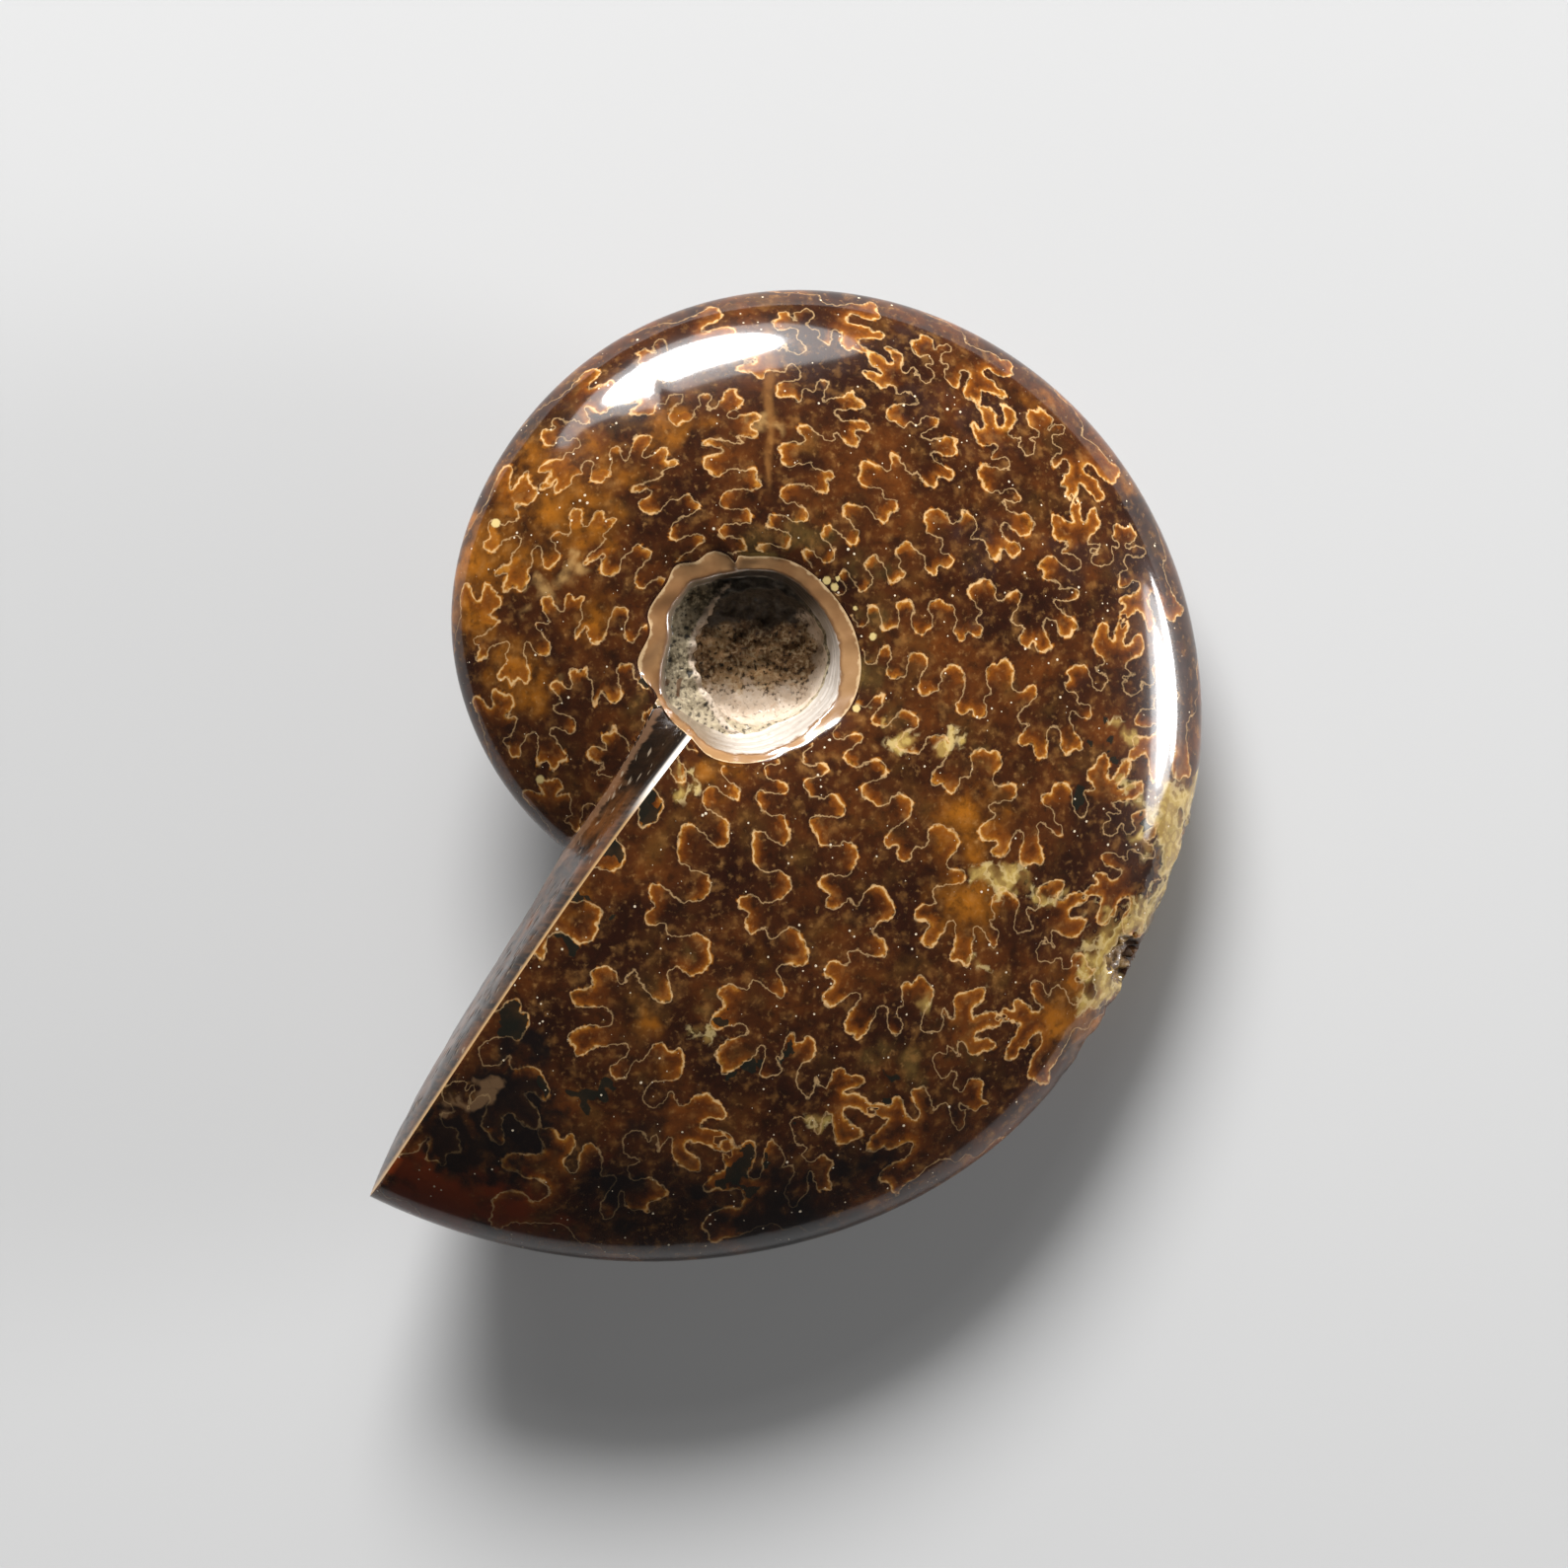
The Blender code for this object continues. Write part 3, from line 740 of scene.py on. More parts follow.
def refine(bm):
    """Cuts the edges that are too long on the shell in half."""
    bm.verts.index_update()
    across, down = sheet_numbers(np.array([vert.co[:2] for vert in bm.verts]))
    points = coil_point(across, down)
    distance = np.abs(suture_fields(across, down)[0])
    ends = np.array([(edge.verts[0].index, edge.verts[1].index) for edge in bm.edges])
    start, end = ends[:, 0], ends[:, 1]
    lengths = np.linalg.norm(points[start] - points[end], axis=1)
    near_line = np.minimum(distance[start], distance[end]) < LINE_BAND + lengths / 2
    middles = (across[start] + across[end]) / 2, (down[start] + down[end]) / 2
    cell = wanted_cell(*middles, (points[start] + points[end]) / 2, near_line)
    long_edges = [edge for edge, too_long in zip(bm.edges, lengths > TOO_LONG * cell) if too_long]
    bmesh.ops.subdivide_edges(bm, edges=long_edges, cuts=1, use_grid_fill=True)


# %% The flat sheet
sheet = bmesh.new()
bmesh.ops.create_grid(sheet, x_segments=COLUMNS, y_segments=ROWS[-1], size=0.5)
print("grid:", len(sheet.verts), "vertices", len(sheet.faces), "faces")
for _ in range(PASSES):
    refine(sheet)
bmesh.ops.triangulate(sheet, faces=sheet.faces[:])
print("sheet:", len(sheet.verts), "vertices", len(sheet.faces), "triangles")

# %% [markdown]
# ## Which material lies where
# The faces get their materials while the sheet is still flat, because the borders between them run along
# its grid.

# %% Name each face's material
MATERIALS = ("polished_calcite", "cut_shell", "umbilical_limestone", "glassy_calcite", "broken_calcite")
CALCITE, CUT_SHELL, LIMESTONE, GLASSY, BROKEN = range(len(MATERIALS))


def material_of(across, down):
    """Which of MATERIALS a face of the flat sheet is."""
    stone = (down < 2) | (down > 5)
    end_face = (across > WHORL_TURN) & (down > 3) & (down < 5)
    return np.where(stone, LIMESTONE, np.where(down < 3, CUT_SHELL, np.where(end_face, GLASSY, CALCITE)))


centres = np.array([face.calc_center_median()[:2] for face in sheet.faces])
for face, index in zip(sheet.faces, material_of(*sheet_numbers(centres))):
    face.material_index = int(index)
counts = np.bincount([face.material_index for face in sheet.faces], minlength=len(MATERIALS))
print("faces of each material:", dict(zip(MATERIALS, counts.tolist())))

# %% [markdown]
# ## The shell
# Rolling the sheet up moves each of its points to its place. The two numbers are kept on the points,
# because the colours need them. The sheet's ends then lie on one another and are merged, and so are the
# points that meet in the middle of the bowl and of the dish, which closes the mesh. The relief comes
# next. The shell is then laid on the floor, leaning as the solid does, and the faces that the splinter
# bared get their own material.

# %% Roll the sheet up and close it
numbers = [sheet.verts.layers.float.new(name) for name in ("across", "down")]
flat_numbers = sheet_numbers(np.array([vert.co[:2] for vert in sheet.verts]))
points = coil_point(*flat_numbers)
for k, vert in enumerate(sheet.verts):
    vert.co = points[k]
    for layer, values in zip(numbers, flat_numbers):
        vert[layer] = values[k]
bmesh.ops.remove_doubles(sheet, verts=sheet.verts, dist=MERGE_DISTANCE)
bmesh.ops.recalc_face_normals(sheet, faces=sheet.faces[:])
sheet.normal_update()
across, down = (np.array([vert[layer] for vert in sheet.verts]) for layer in numbers)
points = np.array([vert.co for vert in sheet.verts])
normals = np.array([vert.normal for vert in sheet.verts])
print("open edges:", sum(not edge.is_manifold for edge in sheet.edges))

# %% Add the relief and lay the shell down
INSIDE_SOLID = 0.9985        # makes the shell a little smaller, so that it stays inside the solid's box
BARED = 0.02                 # mm, from which a face counts as part of the splinter's scar
shaped = points * INSIDE_SOLID + normals * relief(points, normals, across, down)[:, None]
direction = math.radians(REST_LEAN_TOWARDS)
hinge = Vector((-math.sin(direction), math.cos(direction), 0))
lean = np.array(Matrix.Rotation(math.radians(REST_LEAN), 3, hinge))
laid = shaped @ lean.T + np.array((*COIL_CENTRE, 0))
laid[:, 2] += cad_box[1][2] / MM - laid[:, 2].max()
laid[:, 2] = np.maximum(laid[:, 2], 0)
for vert, place in zip(sheet.verts, laid):
    vert.co = place * MM
broken_away = chip_depth(points, normals) > BARED
bared = [face for face in sheet.faces if all(broken_away[vert.index] for vert in face.verts)]
for face in bared:
    face.material_index = BROKEN
print("faces that the splinter bared:", len(bared))
shell_mesh = bpy.data.meshes.new("fossil_shell")
sheet.to_mesh(shell_mesh)
sheet.free()
shell_mesh.shade_smooth()
shell = link(bpy.data.objects.new("fossil_shell", shell_mesh))
print("shell:", len(shell_mesh.polygons), "triangles")
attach(shell, "root")
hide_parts("ammonite")

# %% [markdown]
# ## Marks that have a place
# Most of the colour follows rules, but some marks on this shell have one place: clouds of golden calcite
# on the older half, cream swirls, voids that stayed open, yellow calcite round the splinter. Painted shade
# over the lower part of the shell is laid on the same way. Each is a soft round spot (x, y, radius in mm,
# strength). Its x and y are pixels of the photograph, as seen by the camera above. How much a mark covers
# is worked out for every point of the mesh and kept there, so a material can read it by its name.

# %% Where the marks are
GOLDEN_CLOUDS = (
    (576, 514, 2.7, 0.9), (504, 561, 2.7, 1), (470, 590, 1.8, 0.9), (540, 470, 1.8, 0.7),
    (620, 480, 1.5, 0.6), (682, 433, 1.9, 0.8), (601, 630, 1.7, 0.6), (526, 689, 2.1, 0.9),
    (479, 630, 1.5, 0.8), (582, 542, 1.9, 0.8), (473, 530, 1.5, 0.7), (582, 449, 1.3, 0.5),
    (520, 492, 1.7, 0.6), (984, 838, 2.5, 0.8), (979, 924, 2.3, 0.8), (720, 792, 1.5, 0.5),
    (1090, 1030, 2.3, 0.8), (670, 1092, 1.7, 0.3), (770, 961, 1.3, 0.35), (651, 1030, 1.5, 0.4),
    (576, 905, 1.5, 0.5), (1139, 486, 1.5, 0.4), (1058, 405, 1.3, 0.35), (870, 336, 1.5, 0.3),
)
CREAM_SWIRLS = (
    (573, 580, 1.0, 0.8), (548, 599, 0.9, 0.6), (592, 577, 0.8, 0.6), (529, 618, 0.6, 0.4),
    (570, 689, 0.9, 0.4), (501, 692, 0.7, 0.35), (776, 427, 0.9, 0.6), (558, 527, 0.8, 0.35),
)
YELLOW_CALCITE = (
    (1195, 811, 1.5, 1), (1176, 842, 1.3, 0.8), (1189, 868, 1.5, 0.8), (1129, 952, 1.3, 1),
    (1117, 980, 1.3, 1), (1114, 1008, 1.0, 0.9), (1186, 900, 1.0, 0.8), (1170, 925, 1.1, 0.8),
    (1150, 934, 1.0, 0.8), (1065, 912, 0.7, 0.7), (1125, 925, 0.8, 0.6), (1017, 896, 1.0, 1),
    (995, 885, 0.8, 0.9), (1042, 905, 0.8, 0.8), (961, 753, 0.7, 0.9), (914, 750, 0.8, 0.8),
    (892, 725, 0.5, 0.7), (695, 804, 0.7, 0.9), (682, 788, 0.5, 0.6), (1136, 739, 0.7, 0.7),
    (936, 1018, 0.8, 0.5), (711, 1055, 0.6, 0.5), (998, 980, 0.5, 0.5), (832, 1136, 0.7, 0.6),
    (1145, 792, 0.7, 0.6),
)
OPEN_VOIDS = (
    (617, 861, 1.0, 1), (576, 930, 1.4, 1), (529, 1033, 1.6, 1), (658, 830, 0.9, 1), (732, 1035, 0.6, 1),
    (752, 1069, 0.8, 1), (779, 1077, 0.5, 1), (645, 700, 0.7, 1), (759, 1174, 0.9, 0.8),
    (1089, 812, 0.8, 0.9), (1134, 769, 0.5, 0.8), (1162, 830, 0.5, 0.8), (808, 1142, 0.5, 0.7),
    (901, 1111, 0.7, 0.7), (745, 1199, 0.7, 0.7), (595, 1111, 0.8, 0.7), (558, 1099, 0.8, 0.8),
    (1114, 742, 0.4, 0.7),
)
PALE_DOTS = (
    (838, 588, 0.32, 1), (846, 595, 0.3, 1), (867, 616, 0.2, 1), (885, 645, 0.3, 1), (849, 586, 0.2, 1),
    (868, 718, 0.3, 1), (832, 522, 0.12, 1), (1053, 482, 0.18, 1), (502, 530, 0.35, 1),
    (547, 790, 0.4, 0.8),
)
# Painted shade: near-black spots over the lower part of the shell, where little light falls.
BOTTOM_SHADE_SPOTS = (
    (517, 1121, 2.7, 1), (458, 1155, 1.9, 1), (551, 1149, 1.9, 0.7), (504, 1168, 2.3, 0.9),
    (620, 1205, 3.5, 0.6), (776, 1236, 4.6, 0.7), (532, 1061, 1.9, 0.6), (426, 1130, 1.2, 0.8),
    (700, 1210, 3.5, 0.5), (880, 1190, 4.0, 0.5), (660, 1140, 3.0, 0.4), (970, 1150, 3.0, 0.4),
    (840, 1262, 4.0, 0.6),
)
TAN_STONE = ((482, 1111, 0.8, 1), (498, 1104, 0.5, 1), (464, 1121, 0.6, 0.8), (683, 696, 0.5, 0.9))
EMBER_TIP = (
    (414, 1199, 1.7, 1), (451, 1218, 2.3, 1), (508, 1218, 2.3, 0.8), (401, 1180, 0.8, 0.8),
    (570, 1242, 2.7, 0.4), (608, 1168, 1.5, 0.4),
)
KHAKI_CALCITE = (
    (820, 542, 1.7, 0.8), (770, 550, 1.5, 0.7), (870, 574, 1.5, 0.6), (889, 630, 1.5, 0.6),
    (882, 680, 1.5, 0.6), (901, 718, 1.5, 0.5), (808, 768, 1.2, 0.3), (895, 1068, 1.7, 0.6),
    (932, 1092, 1.5, 0.5), (720, 1018, 1.5, 0.5), (695, 955, 1.2, 0.4), (995, 774, 1.2, 0.5),
    (1082, 755, 1.5, 0.4), (645, 718, 1.2, 0.4), (982, 1061, 1.5, 0.4),
)
DUSKY_CALCITE = (
    (1001, 424, 2.3, 0.8), (932, 405, 1.9, 0.7), (1089, 561, 1.9, 0.7), (995, 549, 2.3, 0.8),
    (832, 380, 2.3, 0.6), (1158, 580, 1.9, 0.8), (995, 630, 1.5, 0.5), (889, 361, 1.9, 0.6),
    (645, 399, 1.9, 0.7), (601, 405, 1.5, 0.6), (932, 336, 1.5, 0.7), (1026, 355, 1.5, 0.6),
    (1095, 680, 1.5, 0.4), (1195, 680, 1.5, 0.8), (1182, 630, 1.5, 0.7),
)
print("golden clouds:", len(GOLDEN_CLOUDS), "voids:", len(OPEN_VOIDS), "pale dots:", len(PALE_DOTS))

# %% From the photograph to the mesh
FRAME_SIZE = 1589
RAGGED = 9.0                 # pixels by which the edges of the marks are broken up


def photo_pixel(points):
    """Where the camera sees a place of the coil's frame. The far flank mirrors the near one."""
    near = points * (1, 1, 0) + np.abs(points) * (0, 0, 1)
    world = near @ lean.T + np.array((*COIL_CENTRE, cad_box[1][2] / MM - top_height))
    scale = FRAME_SIZE * LENS / SENSOR / (camera_height - world[:, 2])
    return (FRAME_SIZE / 2 + (world[:, 0] - CAMERA_OVER[0]) * scale,
            FRAME_SIZE / 2 - (world[:, 1] - CAMERA_OVER[1]) * scale)


def soft(off):
    """A spot that fades outwards. Off is the distance from its middle, over its radius."""
    return np.exp(-(off**2))


def walled(off):
    """A void, which ends at the suture line because a wall of shell held the water in."""
    off = np.where(down > HIDDEN_FROM, FAR, off)
    side = np.sign(suture_mm[np.argmin(off)])
    return smooth((1.25 - off) / 0.3) * smooth(suture_mm * side / 0.12)


def cover(spots, pixels, kind=soft):
    """How strongly each place of the shell is covered by some spots."""
    total = np.zeros(len(points))
    for x, y, radius, strength in spots:
        off = np.hypot(pixels[0] - x, pixels[1] - y) * PHOTO_WIDTH / FRAME_SIZE / radius
        total = np.maximum(total, strength * kind(off))
    return total


top_height = (shaped @ lean.T)[:, 2].max()
clean = photo_pixel(points)
ragged = [
    pixel + RAGGED * (ripples(points, 2.2, seed) + 0.5 * ripples(points, 0.8, seed + 1))
    for pixel, seed in zip(clean, (51, 53))
]
print("shell in the photograph, pixels:", [(round(pixel.min()), round(pixel.max())) for pixel in clean])

# %% Keep the marks and the suture fields on the mesh
BOWL_TO = 1.05               # down, where the bowl's lining ends
SCAR_ANGLE = 88.6            # of a pale healed scar that crosses the flank near the top
SCAR_WIDTH = 0.9
SCAR_ZONE = (3.1, 3.7)       # down
FACE_TOP_ZONE = (2.9, 3.9)
suture_mm, fold_glow = suture_fields(across, down)
broken, whole = ring_cover(points)
x, y = points[:, 0], points[:, 1]  # mm from the coil's axis
off_scar = np.degrees(np.arctan2(y, x)) - SCAR_ANGLE + 0.5 * ripples(points, 3.0, 41)
lining = bowl_bottom(points) * (down < BOWL_TO)
# Painted shade near the top of the umbilicus, on the wall and the ledge, where the lining is left off too.
top_shade = smooth((y - 1.8) / 2) * smooth((x + 3.6) / 1.4)
shown = down < HIDDEN_FROM
attributes = {
    "suture_mm": suture_mm,
    "inner": 0.35 + 0.65 * smooth((inward(across, down) - 3) / 4),
    "fold_glow": fold_glow,
    "golden": cover(GOLDEN_CLOUDS, ragged),
    "cream": cover(CREAM_SWIRLS, ragged),
    "yellow": cover(YELLOW_CALCITE, ragged),
    "void": cover(OPEN_VOIDS, ragged, walled),
    "dot": cover(PALE_DOTS, clean) * shown,
    "bottom_shade": cover(BOTTOM_SHADE_SPOTS, ragged),
    "tan": cover(TAN_STONE, ragged) * shown,
    "ember": cover(EMBER_TIP, ragged),
    "khaki": cover(KHAKI_CALCITE, ragged),
    "dusk": cover(DUSKY_CALCITE, ragged),
    "scar": soft(off_scar / SCAR_WIDTH) * between(down, *SCAR_ZONE, 0.1),
    "pale": np.maximum(lining * (1 - top_shade), np.clip(broken + 1.3 * whole, 0, 1)),
    "pore": pores(points) * (1 - 0.8 * lining),
    # Painted shade over the upper part of the bowl.
    "bowl_upper_shade": smooth((y - BOWL_OFFSET[1] - 1.7 + 0.3 * ripples(points, 1.4, 23)) / 2.6 + 0.5),
    # Painted light: the ledge is lighter towards the bottom.
    "lit_lower_side": smooth((1.0 - y) / 6),
    "top_shade": top_shade,
    "left_side": smooth((-x - 1) / 3),
    "face_top": smooth((13.5 - np.hypot(x, y)) / 4) * between(down, *FACE_TOP_ZONE, 0.1),
    "pit": pits(points),
    "along_face": np.clip((across - WHORL_TURN) / FACE_SPAN, 0, 1),
}
for name, values in attributes.items():
    shell_mesh.attributes.new(name, "FLOAT", "POINT").data.foreach_set("value", values.astype(np.float32))
print("attributes:", ", ".join(attributes))

# %% [markdown]
# ## Materials
# The stone is calcite, a clear to honey-brown crystal that took the place of everything that was once
# alive. A polisher brought it to a gloss. So each material has a dull base, for the light that scatters
# inside the crystal, and a clear coat for the sharp reflection of the polished face. The colours come
# from the numbers kept on the mesh, with small patterns in Object coordinates over them.

# %% Kinds of node
# The kinds of node: type, settings, the sockets that are filled in order, and the output.
KINDS = {
    "spread": ("ShaderNodeMapRange", {"interpolation_type": "SMOOTHSTEP"}, range(5), 0),
    "over": ("ShaderNodeMix", {"data_type": "RGBA"}, (6, 7, 0), 2),
    "times": ("ShaderNodeMath", {"operation": "MULTIPLY"}, (0, 1), 0),
    "plus": ("ShaderNodeMath", {"operation": "ADD"}, (0, 1), 0),
    "minus": ("ShaderNodeMath", {"operation": "SUBTRACT"}, (0, 1), 0),
    "size": ("ShaderNodeMath", {"operation": "ABSOLUTE"}, (0,), 0),
    "wave": ("ShaderNodeMath", {"operation": "SINE"}, (0,), 0),
    "kept": ("ShaderNodeAttribute", {}, (), "Fac"),
    "place": ("ShaderNodeTexCoord", {}, (), "Object"),
    "moved": ("ShaderNodeMapping", {}, ("Vector", "Location", "Rotation", "Scale"), 0),
    "noise": ("ShaderNodeTexNoise", {"noise_dimensions": "4D"}, ("Vector", "W", "Scale", "Detail"), 0),
    "cells": ("ShaderNodeTexVoronoi", {}, ("Vector", "Scale"), "Distance"),
    "bump": ("ShaderNodeBump", {}, ("Strength", "Distance", "Height"), 0),
}
CALCITE_IOR = 1.6
COAT_ROUGHNESS = 0.08
print("kinds of node:", len(KINDS))


# %% Colours and the node helper
def linear(hexcode, alpha=1.0):
    """An sRGB hex colour as the linear values that shaders use."""
    values = [int(hexcode[k:k + 2], 16) / 255 for k in (1, 3, 5)]
    return [v / 12.92 if v <= 0.04045 else ((v + 0.055) / 1.055) ** 2.4 for v in values] + [alpha]


def add_node(material, kind, *inputs, **settings):
    """Adds one of KINDS with its settings and with values or links in its sockets. Returns its output."""
    node_type, fixed, sockets, output = KINDS[kind]
    made = material.node_tree.nodes.new(node_type)
    for name, value in {**fixed, **settings}.items():
        setattr(made, name, value)
    for socket, value in zip(sockets, inputs):
        if isinstance(value, bpy.types.NodeSocket):
            material.node_tree.links.new(value, made.inputs[socket])
        else:
            made.inputs[socket].default_value = linear(value) if isinstance(value, str) else value
    return made.outputs[output]


def paint(add, colour, *layers):
    """
    Lays colours over the first one. A layer is a colour and how much it covers, from 0 to 1. Or it is a
    colour, a number, what that number is where the layer starts and is full, and how much it covers there.
    """
    for layer, number, *limits in layers:
        if limits:
            start, full, strength = limits
            number = add("spread", number, start, full, 0, strength)
        colour = add("over", colour, layer, number)
    return colour


# %% Start and finish a material
def start_material(name, roughness, specular, coat):
    """A material with its shader's own values set, and what adds nodes to it. The coat is its polish."""
    material = bpy.data.materials.new(name)
    material.use_nodes = True
    shader = material.node_tree.nodes["Principled BSDF"]
    shader.inputs["IOR"].default_value = CALCITE_IOR
    shader.inputs["Specular IOR Level"].default_value = specular
    shader.inputs["Roughness"].default_value = roughness
    shader.inputs["Coat Weight"].default_value = coat
    shader.inputs["Coat Roughness"].default_value = COAT_ROUGHNESS
    shell_mesh.materials.append(material)
    return material, partial(add_node, material)


def finish_material(material, colour, relief_strength, relief_depth, height):
    """Gives the shader its colour, and a fine relief relief_depth mm deep."""
    bump = add_node(material, "bump", relief_strength, relief_depth * MM, height)
    shader = material.node_tree.nodes["Principled BSDF"]
    material.node_tree.links.new(colour, shader.inputs["Base Color"])
    material.node_tree.links.new(bump, shader.inputs["Normal"])
    print(material.name, len(material.node_tree.nodes), "nodes")


# %% [markdown]
# ## Polished calcite
# Most of what shows is calcite under a high polish. It is brown where iron stained it, amber where light
# comes back out of a thin place, and glossy all over. A picture could be wrapped round the shell, but it
# would keep the highlights of the day it was taken. So the colour is built up in layers, as a painter
# would: the ground, the clouds, the glow in the folds, the mottling of the crystal, and last the lines.

# %% Patterns and ground of the calcite
calcite, add = start_material("brown_polished_calcite", 0.25, 0.05, 1.0)
place = add("place")
clouds = add("noise", place, 0.0, 1 / (5.0 * MM), 4.0)
patches = add("noise", place, 1.9, 1 / (2.6 * MM), 4.0)
mottle = add("noise", place, 0.3, 1 / (1.4 * MM), 5.0)
milky = add("noise", place, 2.3, 1 / (0.8 * MM), 6.0)
fine = add("noise", place, 0.7, 1 / (0.35 * MM), 4.0)
wavering = add("noise", place, 3.1, 1 / (0.45 * MM), 4.0)
suture_at, inner, fold_glow, yellow, bottom_shade, void, dot = (
    add("kept", attribute_name=name)
    for name in ("suture_mm", "inner", "fold_glow", "yellow", "bottom_shade", "void", "dot")
)
off_line = add("size", add("plus", suture_at, add("spread", wavering, 0.3, 0.7, -0.09, 0.09)))
# Away from the lines the heart of the crystal is darker.
heart = add("times", add("spread", off_line, 0.3, 1.1), add("spread", clouds, 0.66, 0.42, 0.25, 0.75))
colour = paint(
    add, "#2e1306", ("#653510", clouds, 0.34, 0.68, 1), ("#1d0d07", mottle, 0.5, 0.3, 0.65),
    ("#1d0c06", heart), ("#5c3f1a", patches, 0.52, 0.7, 0.45),
)
print("patterns and ground:", len(calcite.node_tree.nodes), "nodes")

# %% Clouds of the calcite, and the glow of its folds
# Clouds, marks and painted shade: the number kept on the mesh, and the colour with its limits. Some lie
# under the glow.
UNDER_GLOW = (
    ("dusk", "#32201b", 0.15, 0.7, 0.8), ("khaki", "#5b4823", 0.15, 0.7, 0.75),
    ("golden", "#955914", 0.1, 0.75, 0.85),
)
OVER_GLOW = (
    ("cream", "#a98450", 0.2, 0.8, 0.75), ("ember", "#6a2706", 0.15, 0.8, 0.9),
    # bottom_shade is painted shade, nearly black, over the lower part of the shell.
    ("bottom_shade", "#0f0b0b", 0.15, 0.65, 0.93), ("yellow", "#ad9250", 0.2, 0.8, 0.85),
    ("tan", "#6b5138", 0.3, 0.7, 0.85), ("scar", "#8c5f30", 0.0, 1.0, 0.45),
)
# Light comes back out of the tips of the folds: gold at the line, then orange, then brown. Each has its
# colour, how many mm it reaches in from the line, and its strength.
GLOW = (("#55290a", 1.3, 0.7), ("#834810", 0.58, 0.72), ("#b07a2c", 0.22, 0.7))
uneven = add("spread", mottle, 0.25, 0.75, 0.55, 1.45)
for name, hexcode, *limits in UNDER_GLOW:
    colour = paint(add, colour, (hexcode, add("times", uneven, add("kept", attribute_name=name)), *limits))
tip_depth = add("times", off_line, add("spread", mottle, 0.25, 0.75, 0.75, 1.35))
folds = add("times", fold_glow, add("spread", inner, 0.3, 1.0, 0.35, 1))
folds = add("times", folds, add("spread", clouds, 0.3, 0.6, 0.75, 1.1))
folds = add("spread", folds, 0.1, 0.95)
for hexcode, reach, strength in GLOW:
    near_line = add("spread", tip_depth, reach, reach * 0.15, 0, strength)
    colour = paint(add, colour, (hexcode, add("times", near_line, folds)))
shade = add("times", add("spread", off_line, 1.3, 0.1), add("spread", fold_glow, 0.35, 0.0, 0, 0.6))
# The crystal is mottled all through: grains of 0.2 to 0.8 mm, some milky and some clear.
colour = paint(
    add, colour, ("#1f0f09", shade), ("#140a05", milky, 0.48, 0.3, 0.5),
    ("#9a6c38", milky, 0.5, 0.78, 0.38), ("#170b06", fine, 0.45, 0.28, 0.35),
    ("#b3864f", fine, 0.55, 0.8, 0.3),
)
uneven = add("spread", mottle, 0.3, 0.7, 0.6, 1.4)
for name, hexcode, *limits in OVER_GLOW:
    colour = paint(add, colour, (hexcode, add("times", uneven, add("kept", attribute_name=name)), *limits))
print("with clouds and glow:", len(calcite.node_tree.nodes), "nodes")

# %% Bands, lines and specks of the calcite
# The yellow calcite grew in thin bands, as agate does.
bands = add("wave", add("times", mottle, 30.0))
yellow = add("spread", yellow, 0.08, 0.4)
dark_band = add("times", yellow, add("spread", bands, -0.2, -0.95, 0, 0.45))
pale_band = add("times", yellow, add("spread", bands, 0.4, 0.95, 0, 0.4))
# The lines themselves are 0.1 to 0.2 mm wide and strongest round the tips.
line_width = add("spread", add("times", fold_glow, fine), 0.1, 0.6, 0.025, 0.065)
line = add("spread", add("minus", off_line, line_width), 0.05, -0.03)
line = add("times", line, add("spread", fold_glow, 0.0, 0.9, 0.55, 0.85))
line = add("times", line, inner)
# The lines fade under the painted shade of the lower part.
line = add("times", line, add("spread", bottom_shade, 0.05, 0.7, 1, 0.15))
line = add("times", line, add("spread", milky, 0.3, 0.6, 0.55, 1.0))
# Specks are small grains that catch the light, larger in some places than in others.
speck_size = add("noise", place, 1.1, 1 / (1.3 * MM), 4.0)
speck_size = add("spread", speck_size, 0.4, 0.7, 0.0, 0.15)
speck = add("minus", add("cells", place, 1 / (0.6 * MM)), speck_size)
colour = paint(
    add, colour, ("#6b4a24", dark_band), ("#c9b27e", pale_band), ("#171812", void, 0.3, 0.5, 0.9),
    ("#c4a273", line), ("#bfa970", dot, 0.4, 0.65, 1), ("#d6c7ad", speck, 0.02, -0.02, 0.8),
)
scratches = add("moved", place, (0, 0, 0), (0, 0, 0.6), (1, 12, 1))
scratches = add("noise", scratches, 0.0, 1 / (2.2 * MM), 6.0)
finish_material(calcite, colour, 0.04, 0.1, scratches)

# %% [markdown]
# ## Cut shell
# The collar is the peach-coloured wall of the whorls, which the wheel cut across. It is dense and takes a
# high gloss. Its colours follow the kept number down, because the wall is light at its cut edge and shows
# its growth layers below it.

# %% Cut shell
cut_shell, add = start_material("cut_shell", 0.3, 0.3, 0.8)
place = add("place")
fine = add("noise", place, 0.0, 1 / (0.5 * MM), 4.0)
clouds = add("noise", place, 0.4, 1 / (2.5 * MM), 3.0)
depth = add("kept", attribute_name="down")
top_shade = add("kept", attribute_name="top_shade")
left_side = add("kept", attribute_name="left_side")
edge = add("plus", depth, add("spread", fine, 0.3, 0.7, -0.03, 0.03))
# Below its upper edge the wall shows its growth layers, pale and dark in turn.
growth_layers = add("wave", add("times", edge, 38.0))
# Near the top of the umbilicus the wall is painted nearly black, as painted shade. It is also darker brown
# on the left.
wall = paint(
    add, "#bab0a5", ("#cac1b7", growth_layers, -0.8, 0.8, 1), ("#94816a", fine, 0.55, 0.74, 0.5),
    ("#271c12", add("times", top_shade, 0.93)), ("#6a553c", add("times", left_side, 0.85)),
)
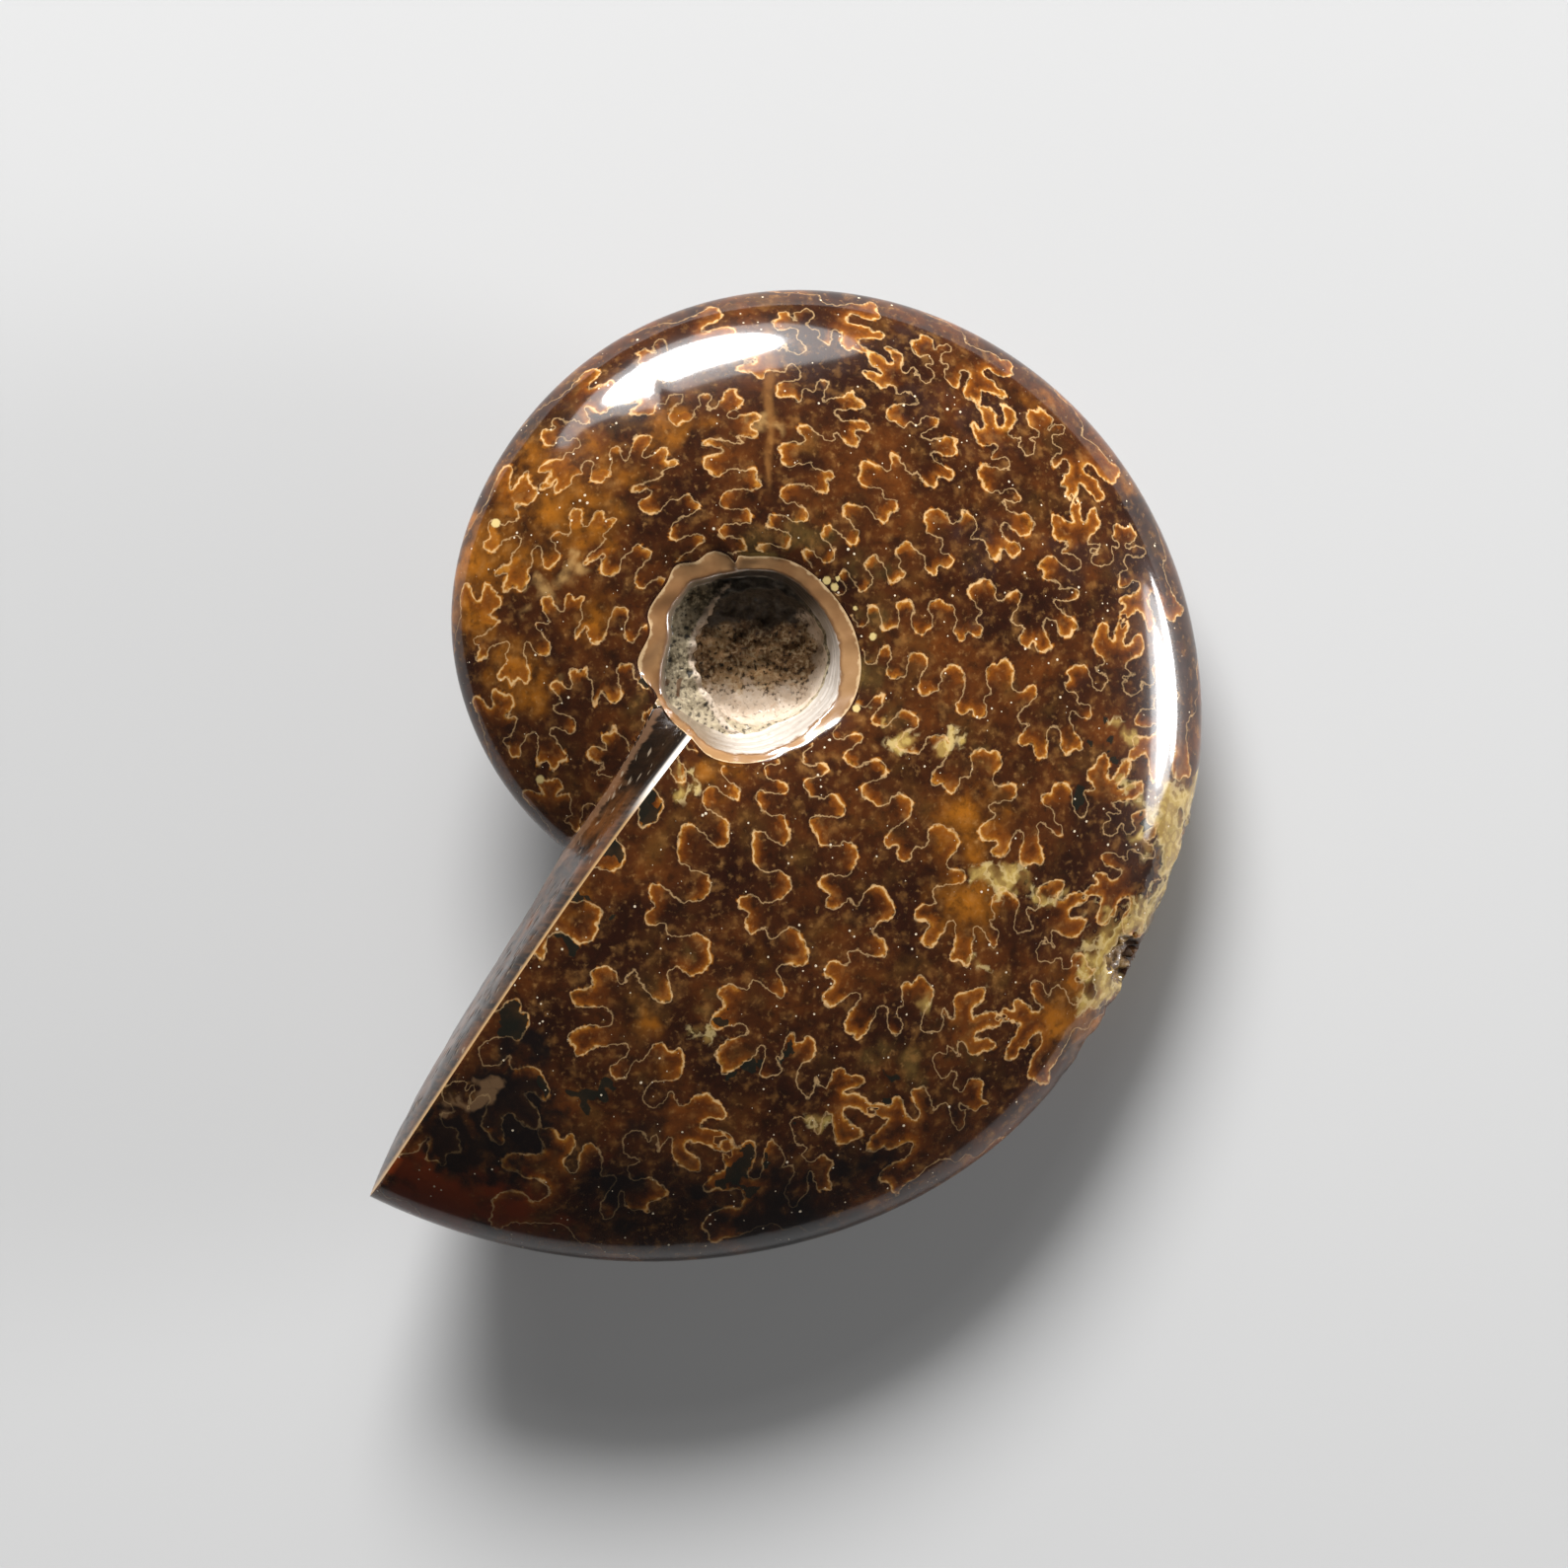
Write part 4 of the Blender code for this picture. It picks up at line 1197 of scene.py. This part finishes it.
# A dark brown band just outside the collar's inner edge is painted shadow.
colour = paint(
    add, "#785433", ("#926e48", clouds, 0.35, 0.65, 1), ("#c3a67e", edge, 2.93, 2.98, 0.8),
    ("#5f3f26", edge, 2.7, 2.62, 0.6), (wall, edge, 2.62, 2.56, 1),
)
finish_material(cut_shell, colour, 0.15, 0.1, fine)

# %% [markdown]
# ## Umbilical limestone
# The mud that filled the umbilicus set to limestone. It is matt, speckled and porous, and cream where a
# lining of shell still covers it. So ledge, bowl and lining are each painted on their own, and the kept
# numbers say where each one shows. Its coat is weak, because rough stone takes little polish.

# %% Umbilical limestone
limestone, add = start_material("umbilical_limestone", 0.75, 0.3, 0.1)
place = add("place")
speckle = add("noise", place, 0.0, 1 / (0.25 * MM), 5.0)
lumps = add("noise", place, 0.5, 1 / (1.3 * MM), 4.0)
depth, lit_lower_side, top_shade, bowl_upper_shade, pale, facet, void, pore = (
    add("kept", attribute_name=name)
    for name in ("down", "lit_lower_side", "top_shade", "bowl_upper_shade", "pale", "tan", "void", "pore")
)
light_speck = add("spread", speckle, 0.52, 0.61, 0, 0.8)
dark_speck = add("spread", speckle, 0.46, 0.38, 0, 0.85)
# The ledge is painted lighter towards the bottom, as painted light, and nearly black near the top, as
# painted shade.
ledge = paint(
    add, "#61573f", ("#8d8067", lumps, 0.35, 0.65, 1), ("#a3947b", add("times", lit_lower_side, 0.75)),
    ("#aea083", light_speck), ("#3a3122", dark_speck), ("#1c150d", add("times", top_shade, 0.93)),
)
# The upper part of the bowl is painted nearly black: painted shade under its rim.
sandy = paint(
    add, "#75583a", ("#b09068", lumps, 0.35, 0.65, 1), ("#c9b592", light_speck), ("#20160e", dark_speck),
    ("#1a120a", bowl_upper_shade, 0.1, 0.8, 0.93),
)
lining = paint(add, "#b09d88", ("#c4b3a0", lumps, 0.4, 0.6, 1), ("#ab8970", speckle, 0.56, 0.7, 0.45))
in_bowl = add("plus", depth, add("spread", lumps, 0.3, 0.7, -0.15, 0.15))
pale = add("times", pale, add("spread", speckle, 0.3, 0.6, 0.55, 1.45))
colour = paint(
    add, ledge, (sandy, in_bowl, 1.1, 0.95, 1), (ledge, depth, 3.0, 4.0, 1),
    (lining, pale, 0.2, 0.95, 0.95), ("#5a3a1e", facet, 0.35, 0.6, 0.8), ("#12150e", void, 0.3, 0.6, 0.9),
    ("#17130d", pore, 0.3, 0.8, 0.9),
)
finish_material(limestone, colour, 0.6, 0.15, speckle)

# %% [markdown]
# ## Glassy calcite
# The end face is clear calcite, ground by hand. It is dark because light sinks into it, and has bright
# pits and streaks. The streaks are a pattern that a Mapping node stretches, because they follow the
# growth of the shell.

# %% Glassy calcite
glassy, add = start_material("glassy_calcite", 0.3, 0.1, 0.35)
place = add("place")
streaks = add("moved", place, (0, 0, 0), (0, 0, -1.05), (1, 5, 1))
streaks = add("noise", streaks, 0.0, 1 / (1.6 * MM), 5.0)
patches = add("noise", place, 0.8, 1 / (2.4 * MM), 3.0)
fine = add("noise", place, 0.0, 1 / (0.4 * MM), 4.0)
along, face_top, pit = (add("kept", attribute_name=name) for name in ("along_face", "face_top", "pit"))
# A near-white line along the face's upper edge, near the umbilicus, is a painted highlight of that rounded
# edge.
edge = add("times", face_top, add("spread", along, 0.1, 0.03))
foot = add("plus", along, add("spread", streaks, 0.3, 0.7, -0.03, 0.03))
colour = paint(
    add, "#1a110b", ("#3e2a1b", streaks, 0.4, 0.65, 1), ("#5d3719", patches, 0.45, 0.68, 0.7),
    ("#120d09", face_top, 0.3, 0.8, 0.9), ("#b39063", along, 0.05, 0.0, 0.8), ("#e4dcd2", edge),
    ("#6b4f3a", foot, 0.86, 0.92, 0.6), ("#8a7b68", pit, 0.5, 0.9, 0.55), ("#b9ae9c", fine, 0.7, 0.78, 0.6),
)
finish_material(glassy, colour, 0.25, 0.15, streaks)

# %% [markdown]
# ## Broken calcite
# Nobody polished the scar that the splinter left, so it is dull and rough, yellow with brown hollows.
# Its dark brown, darkest in the hollows of its relief, is partly painted shade.

# %% Broken calcite
scar_stone, add = start_material("broken_calcite", 0.5, 0.3, 0.3)
place = add("place")
fine = add("noise", place, 0.0, 1 / (0.5 * MM), 5.0)
lumps = add("noise", place, 0.2, 1 / (1.5 * MM), 4.0)
colour = paint(add, "#4b3320", ("#8f7142", lumps, 0.4, 0.65, 1), ("#2a1a0f", fine, 0.47, 0.35, 0.85))
finish_material(scar_stone, colour, 0.7, 0.2, fine)
